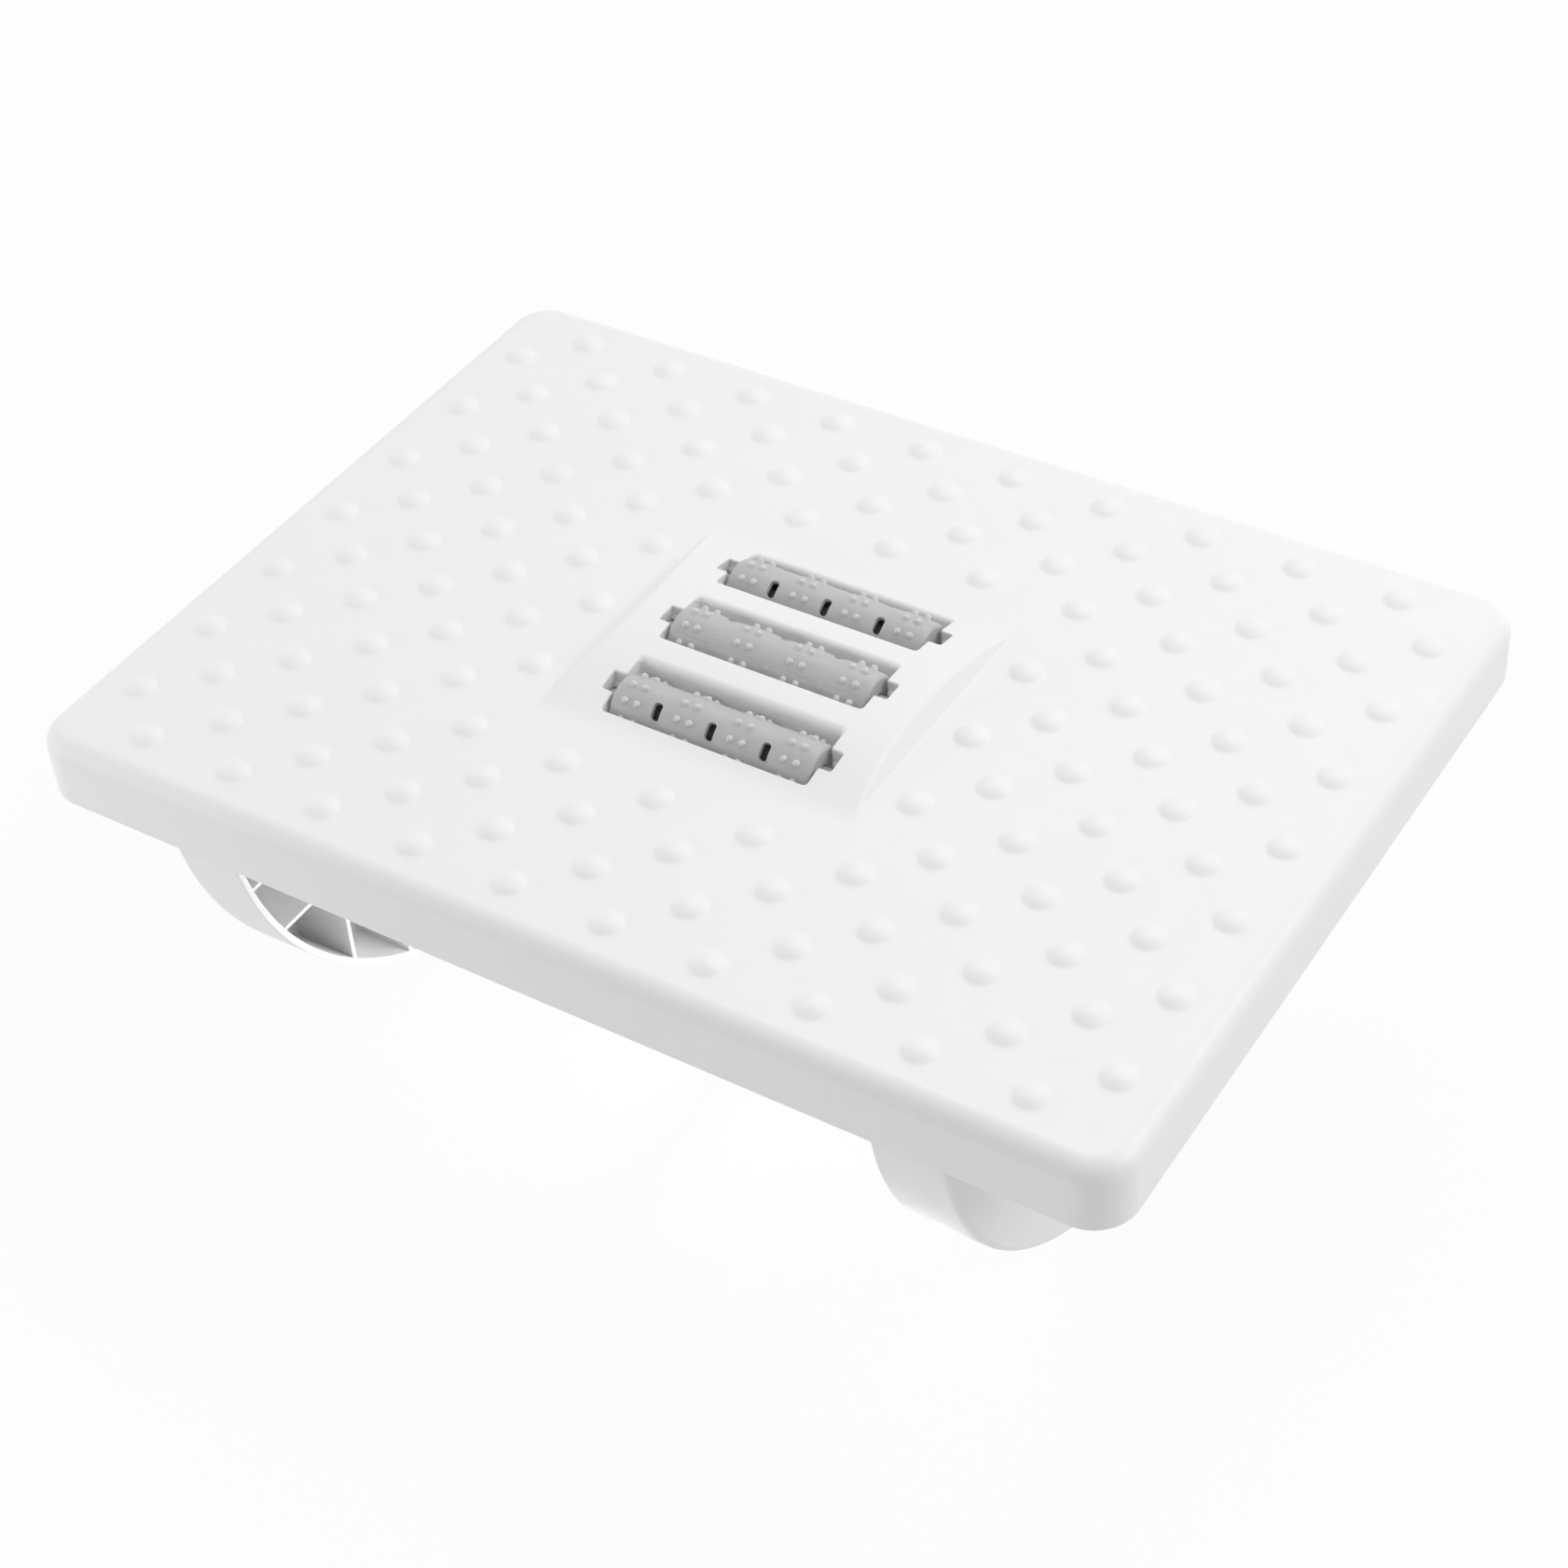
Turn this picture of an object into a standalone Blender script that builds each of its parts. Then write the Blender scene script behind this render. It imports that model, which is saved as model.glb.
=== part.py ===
"""A rocking footrest: a moulded deck on two half-disc rockers, with three massage rollers.

Metres, +Z up. The origin is on the floor, below the middle of the deck. X runs along the
deck's long side and Y from the front to the back. The whole footrest rolls on its rockers
about the X direction, and the three rollers spin on axles that are snapped into the deck.
"""

import math

import bmesh
import bpy
from mathutils import Matrix, Vector

# Fits
GAP = 0.0003  # clearance between pieces that touch or mate
WELD = 0.001  # how far a rib, boss or nub runs into the wall that carries it
REACH = 0.002  # how far a cutter runs past the face that it opens

# Deck tray
DECK_LENGTH = 0.410
DECK_DEPTH = 0.298
DECK_LIFT = 0.0020  # from the middle of the rockers' arcs up to the deck's top
SKIRT_HEIGHT = 0.0255
SKIRT_WALL = 0.0026
PLATE = 0.0030
PLAN_RADIUS = 0.0153
TOP_EDGE_RADIUS = 0.0073
LOWER_EDGE_RADIUS = 0.0008
PLAN_STEPS = 4
TOP_EDGE_STEPS = 4
INNER_EDGE_STEPS = 2
LOWER_EDGE_STEPS = 1

# Domes on the deck, in staggered columns
DOME_PITCH = 0.0186
DOME_RADIUS = 0.00575
DOME_HEIGHT = 0.0016
DOME_SINK = 0.00005
DOME_MARGIN = 0.008  # from the deck's edge to the rim of a dome, at least
DOME_SIDES = 6
DOME_RINGS = 4

# Arched panel that carries the rollers
HUMP_LENGTH = 0.122
HUMP_DEPTH = 0.104
HUMP_RISE = 0.0075
HUMP_DRAFT = 0.002  # how far its end walls lean in over their whole height
HUMP_BLEND = 0.0012  # softness of the line where its front and back meet the deck
HUMP_SPREAD = 0.005  # how far that soft line runs out over the deck
HUMP_STEPS = 20

# Roller slots and the notches at their ends
SLOT_LENGTH = 0.080
SLOT_CORNER_RADIUS = 0.0015
SLOT_CORNER_STEPS = 2
NOTCH_LENGTH = 0.0048
NOTCH_SHOULDER = 0.0007  # how far a notch's walls stand back from the axle's groove
ROLLER_PITCH = 0.0355

# Cradles below the notches, which the axles snap into
AXLE_DEPTH = 0.0075  # from the crown of the arched panel to the middle axle
OUTER_AXLE_DROP = 0.0039  # how much lower the front and back axles lie
CRADLE_OFFSET = 0.001  # from a slot's end to the cradle
CRADLE_WALL = 0.0018  # material that closes a cradle's far end
CRADLE_FLOOR = 0.004  # material below the lowest axle
SNAP_BITE = 0.0004  # how far each side of the neck holds the axle back
NECK_FLARE = 0.0010  # how much wider each side of the neck gets at its mouth
LIP_HEIGHT = 0.0010  # of the snap lips above the neck
AXLE_SIDES = 16

# Rollers
AXLE_RADIUS = 0.0030
ROLLER_END_GAP = 0.0010  # from a roller's end to the slot's end
ROLLER_SIDE_GAP = 0.0005  # from the nubs' tips to the slot's side
ROLLER_WAIST_RADIUS = 0.0099
ROLLER_BULGE = 0.0005  # from the waists out to the crowns
ROLLER_LIP = 0.0015  # rounding at a roller's two ends
SHELL_WALL = 0.0019
ROLLER_END_WALL = 0.0025
ROLLER_STEPS = 8  # around one half shell
WINDOW_PITCH_SHARE = 0.2705  # of the roller's length
WINDOW_WIDTH = 0.0030
WINDOW_LENGTH = 0.0078
WINDOW_STEPS = 2
NUB_ROWS = 5  # on one half shell
NUB_PAIR_PITCH_SHARE = 0.2654  # of the roller's length
NUB_PAIR_SHARES = (-1.5, -0.5, 0.5, 1.5)  # places of the pairs, in pitches from the middle
NUB_SPACING = 0.00475  # between the two nubs of a pair
NUB_FOOT_RADIUS = 0.0015
NUB_TIP_RADIUS = 0.0009
NUB_HEIGHT = 0.0017
NUB_SIDES = 4

# How far each roller is turned in the photograph, from +Y towards +Z
BACK_TURN = math.radians(118.5)
MIDDLE_TURN = math.radians(41.8)
FRONT_TURN = math.radians(129.4)

# Rockers
ROCKER_SET_IN = 0.0562  # from the deck's end to the rocker's outer face
ROCKER_WIDTH = 0.0273
ROCKER_SHORTFALL = 0.0005  # how much less the rocker's radius is than half the deck's depth
ROCKER_WALL = 0.0025
ROCKER_EDGE_RADIUS = 0.0030
ROCKER_EDGE_STEPS = 2
ROCKER_ARC_STEPS = 46
ROCKER_CORNER_STEPS = 2
RIB_WALL = 0.0018
BAY = 0.0287  # between two upright ribs of a rocker
UPPER_SHELF_DROP = 0.0412  # of the end bays' level ribs, below the deck's top
LOWER_SHELF_DROP = 0.0682
UPRIGHT_SHARES = (0.5, 1.5, 2.5, 3.5)  # places of the upright ribs, in bays from the middle
DIMPLE_RADIUS = 0.00225
DIMPLE_DEPTH = 0.0012
DIMPLE_BAY_SHARE = 2.96  # its place, in bays from the middle
DIMPLE_RISE = 0.0072  # above the inside of the rim

# Screws that hold the rockers, and what they pass through
SCREW_BAYS = (-2, -1, 1, 2)  # bays of a rocker, counted from its middle
BOSS_RADIUS = 0.0040
BOSS_LENGTH = 0.0085
CUP_WALL = 0.0022
CUP_FLOOR = 0.0027
SHANK_RADIUS = 0.00175
SCREW_END_GAP = 0.0008  # from a screw's tip to the end of its hole
SHANK_TIP = 0.0015
HEAD_RADIUS = 0.0035
HEAD_HEIGHT = 0.0022
HEAD_EDGE = 0.0008
RECESS_SPAN = 0.0036
RECESS_WIDTH = 0.0009
RECESS_DEPTH = 0.0011
SCREW_SIDES = 8
DRIVER_HOLE_RADIUS = 0.0045
DRIVER_HOLE_RISE = 0.0060
ROUND_SIDES = 12

# Ribs under the deck
LONG_RIB_HEIGHT = 0.0100
CROSS_RIB_HEIGHT = 0.0112
LOCATOR_HEIGHT = 0.0080
NEAR_RIB_Y = 0.062
FAR_RIB_Y = 0.105
PANEL_RIB_GAP = 0.0030  # from the arched panel's end to the cross rib beside it
COLLAR_WALL = 0.0018  # of the walls that go down beside each slot
COLLAR_LIFT = 0.0012  # how much higher these walls end than the cradles

# Levels and sizes that follow from those above
ROCKER_RADIUS = DECK_DEPTH / 2 - ROCKER_SHORTFALL
ROCKER_OUTER_X = DECK_LENGTH / 2 - ROCKER_SET_IN
ROCKER_INNER_X = ROCKER_OUTER_X - ROCKER_WIDTH
DECK_TOP = ROCKER_RADIUS + DECK_LIFT
DECK_BOTTOM = DECK_TOP - SKIRT_HEIGHT
DECK_UNDERSIDE = DECK_TOP - PLATE
INNER_LENGTH = DECK_LENGTH - 2 * SKIRT_WALL
INNER_DEPTH = DECK_DEPTH - 2 * SKIRT_WALL
INNER_EDGE_RADIUS = TOP_EDGE_RADIUS - PLATE
HUMP_TOP = DECK_TOP + HUMP_RISE
CRADLE_START = SLOT_LENGTH / 2 + CRADLE_OFFSET
NOTCH_END = SLOT_LENGTH / 2 + NOTCH_LENGTH
GROOVE_RADIUS = AXLE_RADIUS + GAP
NECK_HALF_WIDTH = AXLE_RADIUS - SNAP_BITE
MOUTH_HALF_WIDTH = NECK_HALF_WIDTH + NECK_FLARE
NOTCH_HALF_WIDTH = GROOVE_RADIUS + NOTCH_SHOULDER
NECK_RISE = NECK_HALF_WIDTH
LIP_RISE = NECK_RISE + LIP_HEIGHT
ROLLER_LENGTH = SLOT_LENGTH - 2 * ROLLER_END_GAP
ROLLER_CROWN_RADIUS = ROLLER_WAIST_RADIUS + ROLLER_BULGE
ROLLER_BORE_RADIUS = ROLLER_WAIST_RADIUS - SHELL_WALL
NUB_REACH = ROLLER_WAIST_RADIUS + NUB_HEIGHT
SLOT_WIDTH = 2 * (NUB_REACH + ROLLER_SIDE_GAP)
WINDOW_PITCH = ROLLER_LENGTH * WINDOW_PITCH_SHARE
NUB_PAIR_PITCH = ROLLER_LENGTH * NUB_PAIR_PITCH_SHARE
MIDDLE_AXLE_Z = HUMP_TOP - AXLE_DEPTH
OUTER_AXLE_Z = MIDDLE_AXLE_Z - OUTER_AXLE_DROP
CRADLE_BOTTOM = OUTER_AXLE_Z - GROOVE_RADIUS - CRADLE_FLOOR
ROCKER_TOP = DECK_UNDERSIDE - GAP
ROCKER_HALF_DEPTH = INNER_DEPTH / 2 - GAP
ROCKER_CORNER_RADIUS = INNER_EDGE_RADIUS - GAP
ROCKER_WEB_X = ROCKER_OUTER_X - ROCKER_WALL
SCREW_X = (ROCKER_INNER_X + ROCKER_WEB_X) / 2
BOSS_END = DECK_UNDERSIDE - BOSS_LENGTH
CUP_SEAT = BOSS_END - GAP
CUP_BOTTOM = CUP_SEAT - CUP_FLOOR
HEAD_TOP = CUP_BOTTOM - GAP
SCREW_HOLE_END = DECK_UNDERSIDE - WELD
SHANK_LENGTH = SCREW_HOLE_END - SCREW_END_GAP - HEAD_TOP
DIMPLE_Y = BAY * DIMPLE_BAY_SHARE

# Each roller's name, the Y and Z of its axle, and its turn
ROLLERS = (
    ("back", ROLLER_PITCH, OUTER_AXLE_Z, BACK_TURN),
    ("middle", 0, MIDDLE_AXLE_Z, MIDDLE_TURN),
    ("front", -ROLLER_PITCH, OUTER_AXLE_Z, FRONT_TURN),
)

# Finishes: colour, roughness and metallic
WHITE_PLASTIC = ((0.83, 0.83, 0.82, 1), 0.42, 0)
GREY_PLASTIC = ((0.37, 0.37, 0.38, 1), 0.5, 0)
SCREW_STEEL = ((0.62, 0.62, 0.60, 1), 0.35, 1)
SMOOTH_BELOW = math.radians(35)


def clear_scene():
    """Remove what the start-up scene holds."""
    for thing in list(bpy.data.objects):
        bpy.data.objects.remove(thing)


def keep(name, mesh_data):
    """Turn a bmesh with any face order into an object whose faces point out."""
    bmesh.ops.recalc_face_normals(mesh_data, faces=mesh_data.faces)
    mesh = bpy.data.meshes.new(name)
    mesh_data.to_mesh(mesh)
    mesh_data.free()
    thing = bpy.data.objects.new(name, mesh)
    bpy.context.scene.collection.objects.link(thing)
    return thing


def finish(thing, look):
    """Give an object a material of its own, and smooth shading on its round faces."""
    colour, roughness, metallic = look
    material = bpy.data.materials.new(thing.name)
    material.use_nodes = True
    surface = material.node_tree.nodes["Principled BSDF"]
    surface.inputs["Base Color"].default_value = colour
    surface.inputs["Roughness"].default_value = roughness
    surface.inputs["Metallic"].default_value = metallic
    thing.data.materials.clear()
    thing.data.materials.append(material)
    thing.data.shade_smooth()
    thing.data.set_sharp_from_angle(angle=SMOOTH_BELOW)


def combine(target, tool, operation):
    """Work one exact boolean into the target's mesh and drop the tool."""
    modifier = target.modifiers.new(tool.name, "BOOLEAN")
    modifier.operation = operation
    modifier.solver = "EXACT"
    modifier.object = tool
    graph = bpy.context.evaluated_depsgraph_get()
    worked = bpy.data.meshes.new_from_object(target.evaluated_get(graph))
    target.modifiers.clear()
    target.data = worked
    bpy.data.objects.remove(tool)


def cut(target, tool):
    """Take the tool's shape away from the target."""
    combine(target, tool, "DIFFERENCE")


def join(target, tool):
    """Add the tool's shape to the target."""
    combine(target, tool, "UNION")


def arc(centre, radius, start, end, steps):
    """Points of an arc about a centre, both ends included."""
    turns = [start + (end - start) * step / steps for step in range(steps + 1)]
    return [
        (centre[0] + radius * math.cos(turn), centre[1] + radius * math.sin(turn))
        for turn in turns
    ]


def rounded_rectangle(length, depth, radius, steps):
    """The outline of a rectangle about the origin with round corners."""
    outline = []
    corners = ((1, 1), (-1, 1), (-1, -1), (1, -1))
    for quarter, (side_u, side_v) in enumerate(corners):
        centre = (side_u * (length / 2 - radius), side_v * (depth / 2 - radius))
        start = quarter * math.pi / 2
        outline += arc(centre, radius, start, start + math.pi / 2, steps)
    return outline


def prism(name, outline, low, high, along="Z"):
    """An outline in XY raised along Z, or an outline in YZ drawn out along X."""
    mesh_data = bmesh.new()
    if along == "X":
        points = [Vector((low, u, v)) for u, v in outline]
        travel = Vector((high - low, 0, 0))
    else:
        points = [Vector((u, v, low)) for u, v in outline]
        travel = Vector((0, 0, high - low))
    face = mesh_data.faces.new([mesh_data.verts.new(point) for point in points])
    grown = bmesh.ops.extrude_face_region(mesh_data, geom=[face])["geom"]
    moved = [item for item in grown if isinstance(item, bmesh.types.BMVert)]
    bmesh.ops.translate(mesh_data, verts=moved, vec=travel)
    return keep(name, mesh_data)


def round_rim(thing, axis, level, radius, steps):
    """Round the edges that lie in one plane across an axis (0 for X, 2 for Z)."""
    mesh_data = bmesh.new()
    mesh_data.from_mesh(thing.data)
    slack = GAP / 100
    rim = [
        edge
        for edge in mesh_data.edges
        if all(abs(corner.co[axis] - level) < slack for corner in edge.verts)
    ]
    bmesh.ops.bevel(
        mesh_data,
        geom=rim,
        offset=radius,
        offset_type="OFFSET",
        segments=steps,
        profile=0.5,
        affect="EDGES",
    )
    mesh_data.to_mesh(thing.data)
    mesh_data.free()


def boxes(name, corners):
    """Separate boxes in one object, each given by its low and its high corner."""
    mesh_data = bmesh.new()
    for low, high in corners:
        low, high = Vector(low), Vector(high)
        place = Matrix.Translation((low + high) / 2)
        stretch = Matrix.Diagonal((*(high - low), 1))
        bmesh.ops.create_cube(mesh_data, size=1, matrix=place @ stretch)
    return keep(name, mesh_data)


def posts(name, feet, radius, sides):
    """Separate upright cylinders in one object, each given by its X, Y, low Z and high Z."""
    mesh_data = bmesh.new()
    for x, y, low, high in feet:
        bmesh.ops.create_cone(
            mesh_data,
            cap_ends=True,
            segments=sides,
            radius1=radius,
            radius2=radius,
            depth=high - low,
            matrix=Matrix.Translation((x, y, (low + high) / 2)),
        )
    return keep(name, mesh_data)


def bars(name, runs, radius, sides):
    """Separate cylinders along X in one object, each given by its low X, high X, Y and Z."""
    mesh_data = bmesh.new()
    lay = Matrix.Rotation(math.pi / 2, 4, "Y")
    for low, high, y, z in runs:
        bmesh.ops.create_cone(
            mesh_data,
            cap_ends=True,
            segments=sides,
            radius1=radius,
            radius2=radius,
            depth=abs(high - low),
            matrix=Matrix.Translation(((low + high) / 2, y, z)) @ lay,
        )
    return keep(name, mesh_data)


# The deck


def hump_height(y):
    """Height of the arched panel above the deck at a distance from its middle line."""
    half = HUMP_DEPTH / 2
    radius = (half**2 + HUMP_RISE**2) / (2 * HUMP_RISE)

    def softened(distance):
        bare = math.sqrt(radius**2 - distance**2) - radius + HUMP_RISE
        return (bare + math.hypot(bare, HUMP_BLEND)) / 2

    return max(0, softened(y) - softened(half + HUMP_SPREAD))


def hump_points(drop):
    """The arched panel's line from front to back, lowered by a drop."""
    reach = HUMP_DEPTH / 2 + HUMP_SPREAD
    places = [reach * (2 * step / HUMP_STEPS - 1) for step in range(HUMP_STEPS + 1)]
    return [(y, DECK_TOP + hump_height(y) - drop) for y in places]


def hump_block(name, drop, length):
    """The arched panel as a block, its end walls leaning in, for adding or hollowing."""
    line = hump_points(drop)
    foot = DECK_TOP - drop
    outline = line + [(line[-1][0], foot - WELD), (line[0][0], foot - WELD)]
    block = prism(name, outline, -length / 2, length / 2, along="X")
    for corner in block.data.vertices:
        lean = HUMP_DRAFT * (corner.co.z - foot) / HUMP_RISE
        corner.co.x -= math.copysign(lean, corner.co.x)
    return block


def tray():
    """The deck's plate and skirt, with the arched panel, hollow below."""
    outline = rounded_rectangle(DECK_LENGTH, DECK_DEPTH, PLAN_RADIUS, PLAN_STEPS)
    body = prism("deck", outline, DECK_BOTTOM, DECK_TOP)
    round_rim(body, 2, DECK_TOP, TOP_EDGE_RADIUS, TOP_EDGE_STEPS)
    round_rim(body, 2, DECK_BOTTOM, LOWER_EDGE_RADIUS, LOWER_EDGE_STEPS)
    join(body, hump_block("hump", 0, HUMP_LENGTH))
    inner_radius = PLAN_RADIUS - SKIRT_WALL
    inner = rounded_rectangle(INNER_LENGTH, INNER_DEPTH, inner_radius, PLAN_STEPS)
    hollow = prism("hollow", inner, DECK_BOTTOM - REACH, DECK_UNDERSIDE)
    round_rim(hollow, 2, DECK_UNDERSIDE, INNER_EDGE_RADIUS, INNER_EDGE_STEPS)
    cut(body, hollow)
    cut(body, hump_block("hump hollow", PLATE, HUMP_LENGTH - 2 * PLATE))
    return body


def dome_places():
    """Where the domes stand: staggered columns, with none on or against the arched panel."""
    places = []
    columns = int((DECK_LENGTH / 2 - DOME_MARGIN - DOME_RADIUS) / DOME_PITCH)
    rows = int(DECK_DEPTH / DOME_PITCH)
    for column in range(-columns, columns + 1):
        x = column * DOME_PITCH
        offset = DOME_PITCH * (column % 2)
        for row in range(-rows, rows + 1):
            y = offset + 2 * row * DOME_PITCH
            inside = abs(y) + DOME_RADIUS + DOME_MARGIN < DECK_DEPTH / 2
            over_hump = abs(x) < HUMP_LENGTH / 2 and abs(y) < HUMP_DEPTH / 2 + DOME_RADIUS
            if inside and not over_hump:
                places.append((x, y))
    return places


def domes():
    """Low domes, sunk in the deck's top to their widest."""
    mesh_data = bmesh.new()
    flatten = Matrix.Diagonal((DOME_RADIUS, DOME_RADIUS, DOME_HEIGHT, 1))
    for x, y in dome_places():
        bmesh.ops.create_uvsphere(
            mesh_data,
            u_segments=DOME_SIDES,
            v_segments=DOME_RINGS,
            radius=1,
            matrix=Matrix.Translation((x, y, DECK_TOP - DOME_SINK)) @ flatten,
        )
    return keep("domes", mesh_data)


def cradle_blocks(body):
    """One block across all three axles, below the notches at each end of the slots."""
    far = NOTCH_END + CRADLE_WALL
    line = hump_points(PLATE - WELD)
    outline = line + [(line[-1][0], CRADLE_BOTTOM), (line[0][0], CRADLE_BOTTOM)]
    for side in (-1, 1):
        join(body, prism("cradle", outline, side * CRADLE_START, side * far, along="X"))


def deck_ribs(body):
    """Ribs that stiffen the plate, and those that hold a rocker between them."""
    high = DECK_UNDERSIDE + WELD
    half_wall = RIB_WALL / 2
    wall_y = INNER_DEPTH / 2 + WELD
    low = DECK_UNDERSIDE - LONG_RIB_HEIGHT
    cross_low = DECK_UNDERSIDE - CROSS_RIB_HEIGHT
    locator_low = DECK_UNDERSIDE - LOCATOR_HEIGHT
    locator_in = ROCKER_INNER_X - GAP - half_wall
    locator_out = ROCKER_OUTER_X + GAP + half_wall
    locators = [
        ((x - half_wall, -wall_y, locator_low), (x + half_wall, wall_y, high))
        for x in (-locator_out, -locator_in, locator_in, locator_out)
    ]
    beside = HUMP_LENGTH / 2 + PANEL_RIB_GAP
    between = (beside + ROCKER_INNER_X) / 2
    cross = [
        ((x - half_wall, -wall_y, cross_low), (x + half_wall, wall_y, high))
        for x in (-between, -beside, beside, between)
    ]
    rows = (-FAR_RIB_Y, -NEAR_RIB_Y, NEAR_RIB_Y, FAR_RIB_Y)
    long = [
        ((-locator_in, y - half_wall, low), (locator_in, y + half_wall, high)) for y in rows
    ]
    end_x = INNER_LENGTH / 2 + WELD
    outer = [
        (
            (min(side * locator_out, side * end_x), y - half_wall, low),
            (max(side * locator_out, side * end_x), y + half_wall, high),
        )
        for side in (-1, 1)
        for y in (0, *rows)
    ]
    join(body, boxes("cross ribs", locators + cross))
    join(body, boxes("long ribs", long + outer))


def slot_collars(body):
    """The walls that go down beside each slot, from one cradle to the other."""
    reach = CRADLE_START + WELD
    low = CRADLE_BOTTOM + COLLAR_LIFT
    walls = []
    for _, middle, _, _ in ROLLERS:
        for side in (-1, 1):
            edge = middle + side * SLOT_WIDTH / 2
            near, far = sorted((edge - side * WELD, edge + side * COLLAR_WALL))
            high = DECK_TOP + min(hump_height(near), hump_height(far)) - PLATE + WELD
            walls.append(((-reach, near, low), (reach, far, high)))
    join(body, boxes("collars", walls))


def screw_places():
    """The X and Y of every screw, left rocker first and front to back."""
    return [(side * SCREW_X, bay * BAY) for side in (-1, 1) for bay in SCREW_BAYS]


def deck_bosses(body):
    """Round bosses that the rockers' screws go up into."""
    high = DECK_UNDERSIDE + WELD
    feet = [(x, y, BOSS_END, high) for x, y in screw_places()]
    join(body, posts("bosses", feet, BOSS_RADIUS, ROUND_SIDES))
    bottom = BOSS_END - REACH
    pilots = [(x, y, bottom, SCREW_HOLE_END) for x, y in screw_places()]
    cut(body, posts("pilots", pilots, SHANK_RADIUS + GAP, SCREW_SIDES))


def roller_slots(body):
    """Slots, the notches at their ends, and below each notch a groove with a snap neck."""
    top = HUMP_TOP + REACH
    outline = rounded_rectangle(SLOT_LENGTH, SLOT_WIDTH, SLOT_CORNER_RADIUS, SLOT_CORNER_STEPS)
    notches = []
    grooves = []
    for _, y, z, _ in ROLLERS:
        moved = [(u, v + y) for u, v in outline]
        cut(body, prism("slot", moved, DECK_BOTTOM, top))
        half = NOTCH_HALF_WIDTH
        notches.append(((-NOTCH_END, y - half, z + LIP_RISE), (NOTCH_END, y + half, top)))
        grooves.append((-NOTCH_END, NOTCH_END, y, z))
    cut(body, boxes("notches", notches))
    cut(body, bars("grooves", grooves, GROOVE_RADIUS, AXLE_SIDES))
    neck = NECK_HALF_WIDTH
    mouth = MOUTH_HALF_WIDTH
    for _, y, z, _ in ROLLERS:
        throat = [
            (y - neck, z),
            (y + neck, z),
            (y + neck, z + NECK_RISE),
            (y + mouth, z + LIP_RISE + WELD),
            (y - mouth, z + LIP_RISE + WELD),
            (y - neck, z + NECK_RISE),
        ]
        cut(body, prism("throat", throat, -NOTCH_END, NOTCH_END, along="X"))


def make_deck():
    """The whole deck, one moulding."""
    body = tray()
    cradle_blocks(body)
    deck_ribs(body)
    slot_collars(body)
    deck_bosses(body)
    roller_slots(body)
    join(body, domes())
    finish(body, WHITE_PLASTIC)
    return body


# The rockers


def rocker_outline(inset):
    """A rocker's outline in YZ, every wall moved in by an inset."""
    radius = ROCKER_RADIUS - inset
    half = ROCKER_HALF_DEPTH - inset
    top = ROCKER_TOP - inset
    corner = ROCKER_CORNER_RADIUS - inset
    swing = math.asin(half / radius)
    down = -math.pi / 2
    outline = arc((0, ROCKER_RADIUS), radius, down - swing, down + swing, ROCKER_ARC_STEPS)
    centre_y, centre_z = half - corner, top - corner
    outline += arc((centre_y, centre_z), corner, 0, math.pi / 2, ROCKER_CORNER_STEPS)
    outline += arc((-centre_y, centre_z), corner, math.pi / 2, math.pi, ROCKER_CORNER_STEPS)
    return outline


def rim_height(y, inset):
    """Height of the rim at a distance from the rocker's middle, moved in by an inset."""
    return ROCKER_RADIUS - math.sqrt((ROCKER_RADIUS - inset) ** 2 - y**2)


def rim_reach(z, inset):
    """Distance from the rocker's middle out to the rim at a height, moved in by an inset."""
    return math.sqrt((ROCKER_RADIUS - inset) ** 2 - (ROCKER_RADIUS - z) ** 2)


def upright_ribs(side):
    """The rocker's upright ribs, from the rim to the top wall, flush with its open face."""
    half_wall = RIB_WALL / 2
    near, far = sorted((side * ROCKER_INNER_X, side * (ROCKER_WEB_X + WELD)))
    high = ROCKER_TOP - WELD
    ribs = []
    for share in UPRIGHT_SHARES:
        reach = share * BAY
        outside = rim_height(reach + half_wall, 0)
        inside = rim_height(reach - half_wall, ROCKER_WALL)
        low = (outside + inside) / 2
        for y in (-reach, reach):
            ribs.append(((near, y - half_wall, low), (far, y + half_wall, high)))
    return boxes("uprights", ribs)


def level_ribs(side):
    """The two level ribs in each end bay."""
    half_wall = RIB_WALL / 2
    near, far = sorted((side * ROCKER_INNER_X, side * (ROCKER_WEB_X + WELD)))
    start = UPRIGHT_SHARES[-1] * BAY
    ribs = []
    for drop in (UPPER_SHELF_DROP, LOWER_SHELF_DROP):
        z = DECK_TOP - drop
        outside = rim_reach(z - half_wall, 0)
        inside = rim_reach(z + half_wall, ROCKER_WALL)
        end = (outside + inside) / 2
        for low_y, high_y in ((-end, -start), (start, end)):
            ribs.append(((near, low_y, z - half_wall), (far, high_y, z + half_wall)))
    return boxes("levels", ribs)


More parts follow.
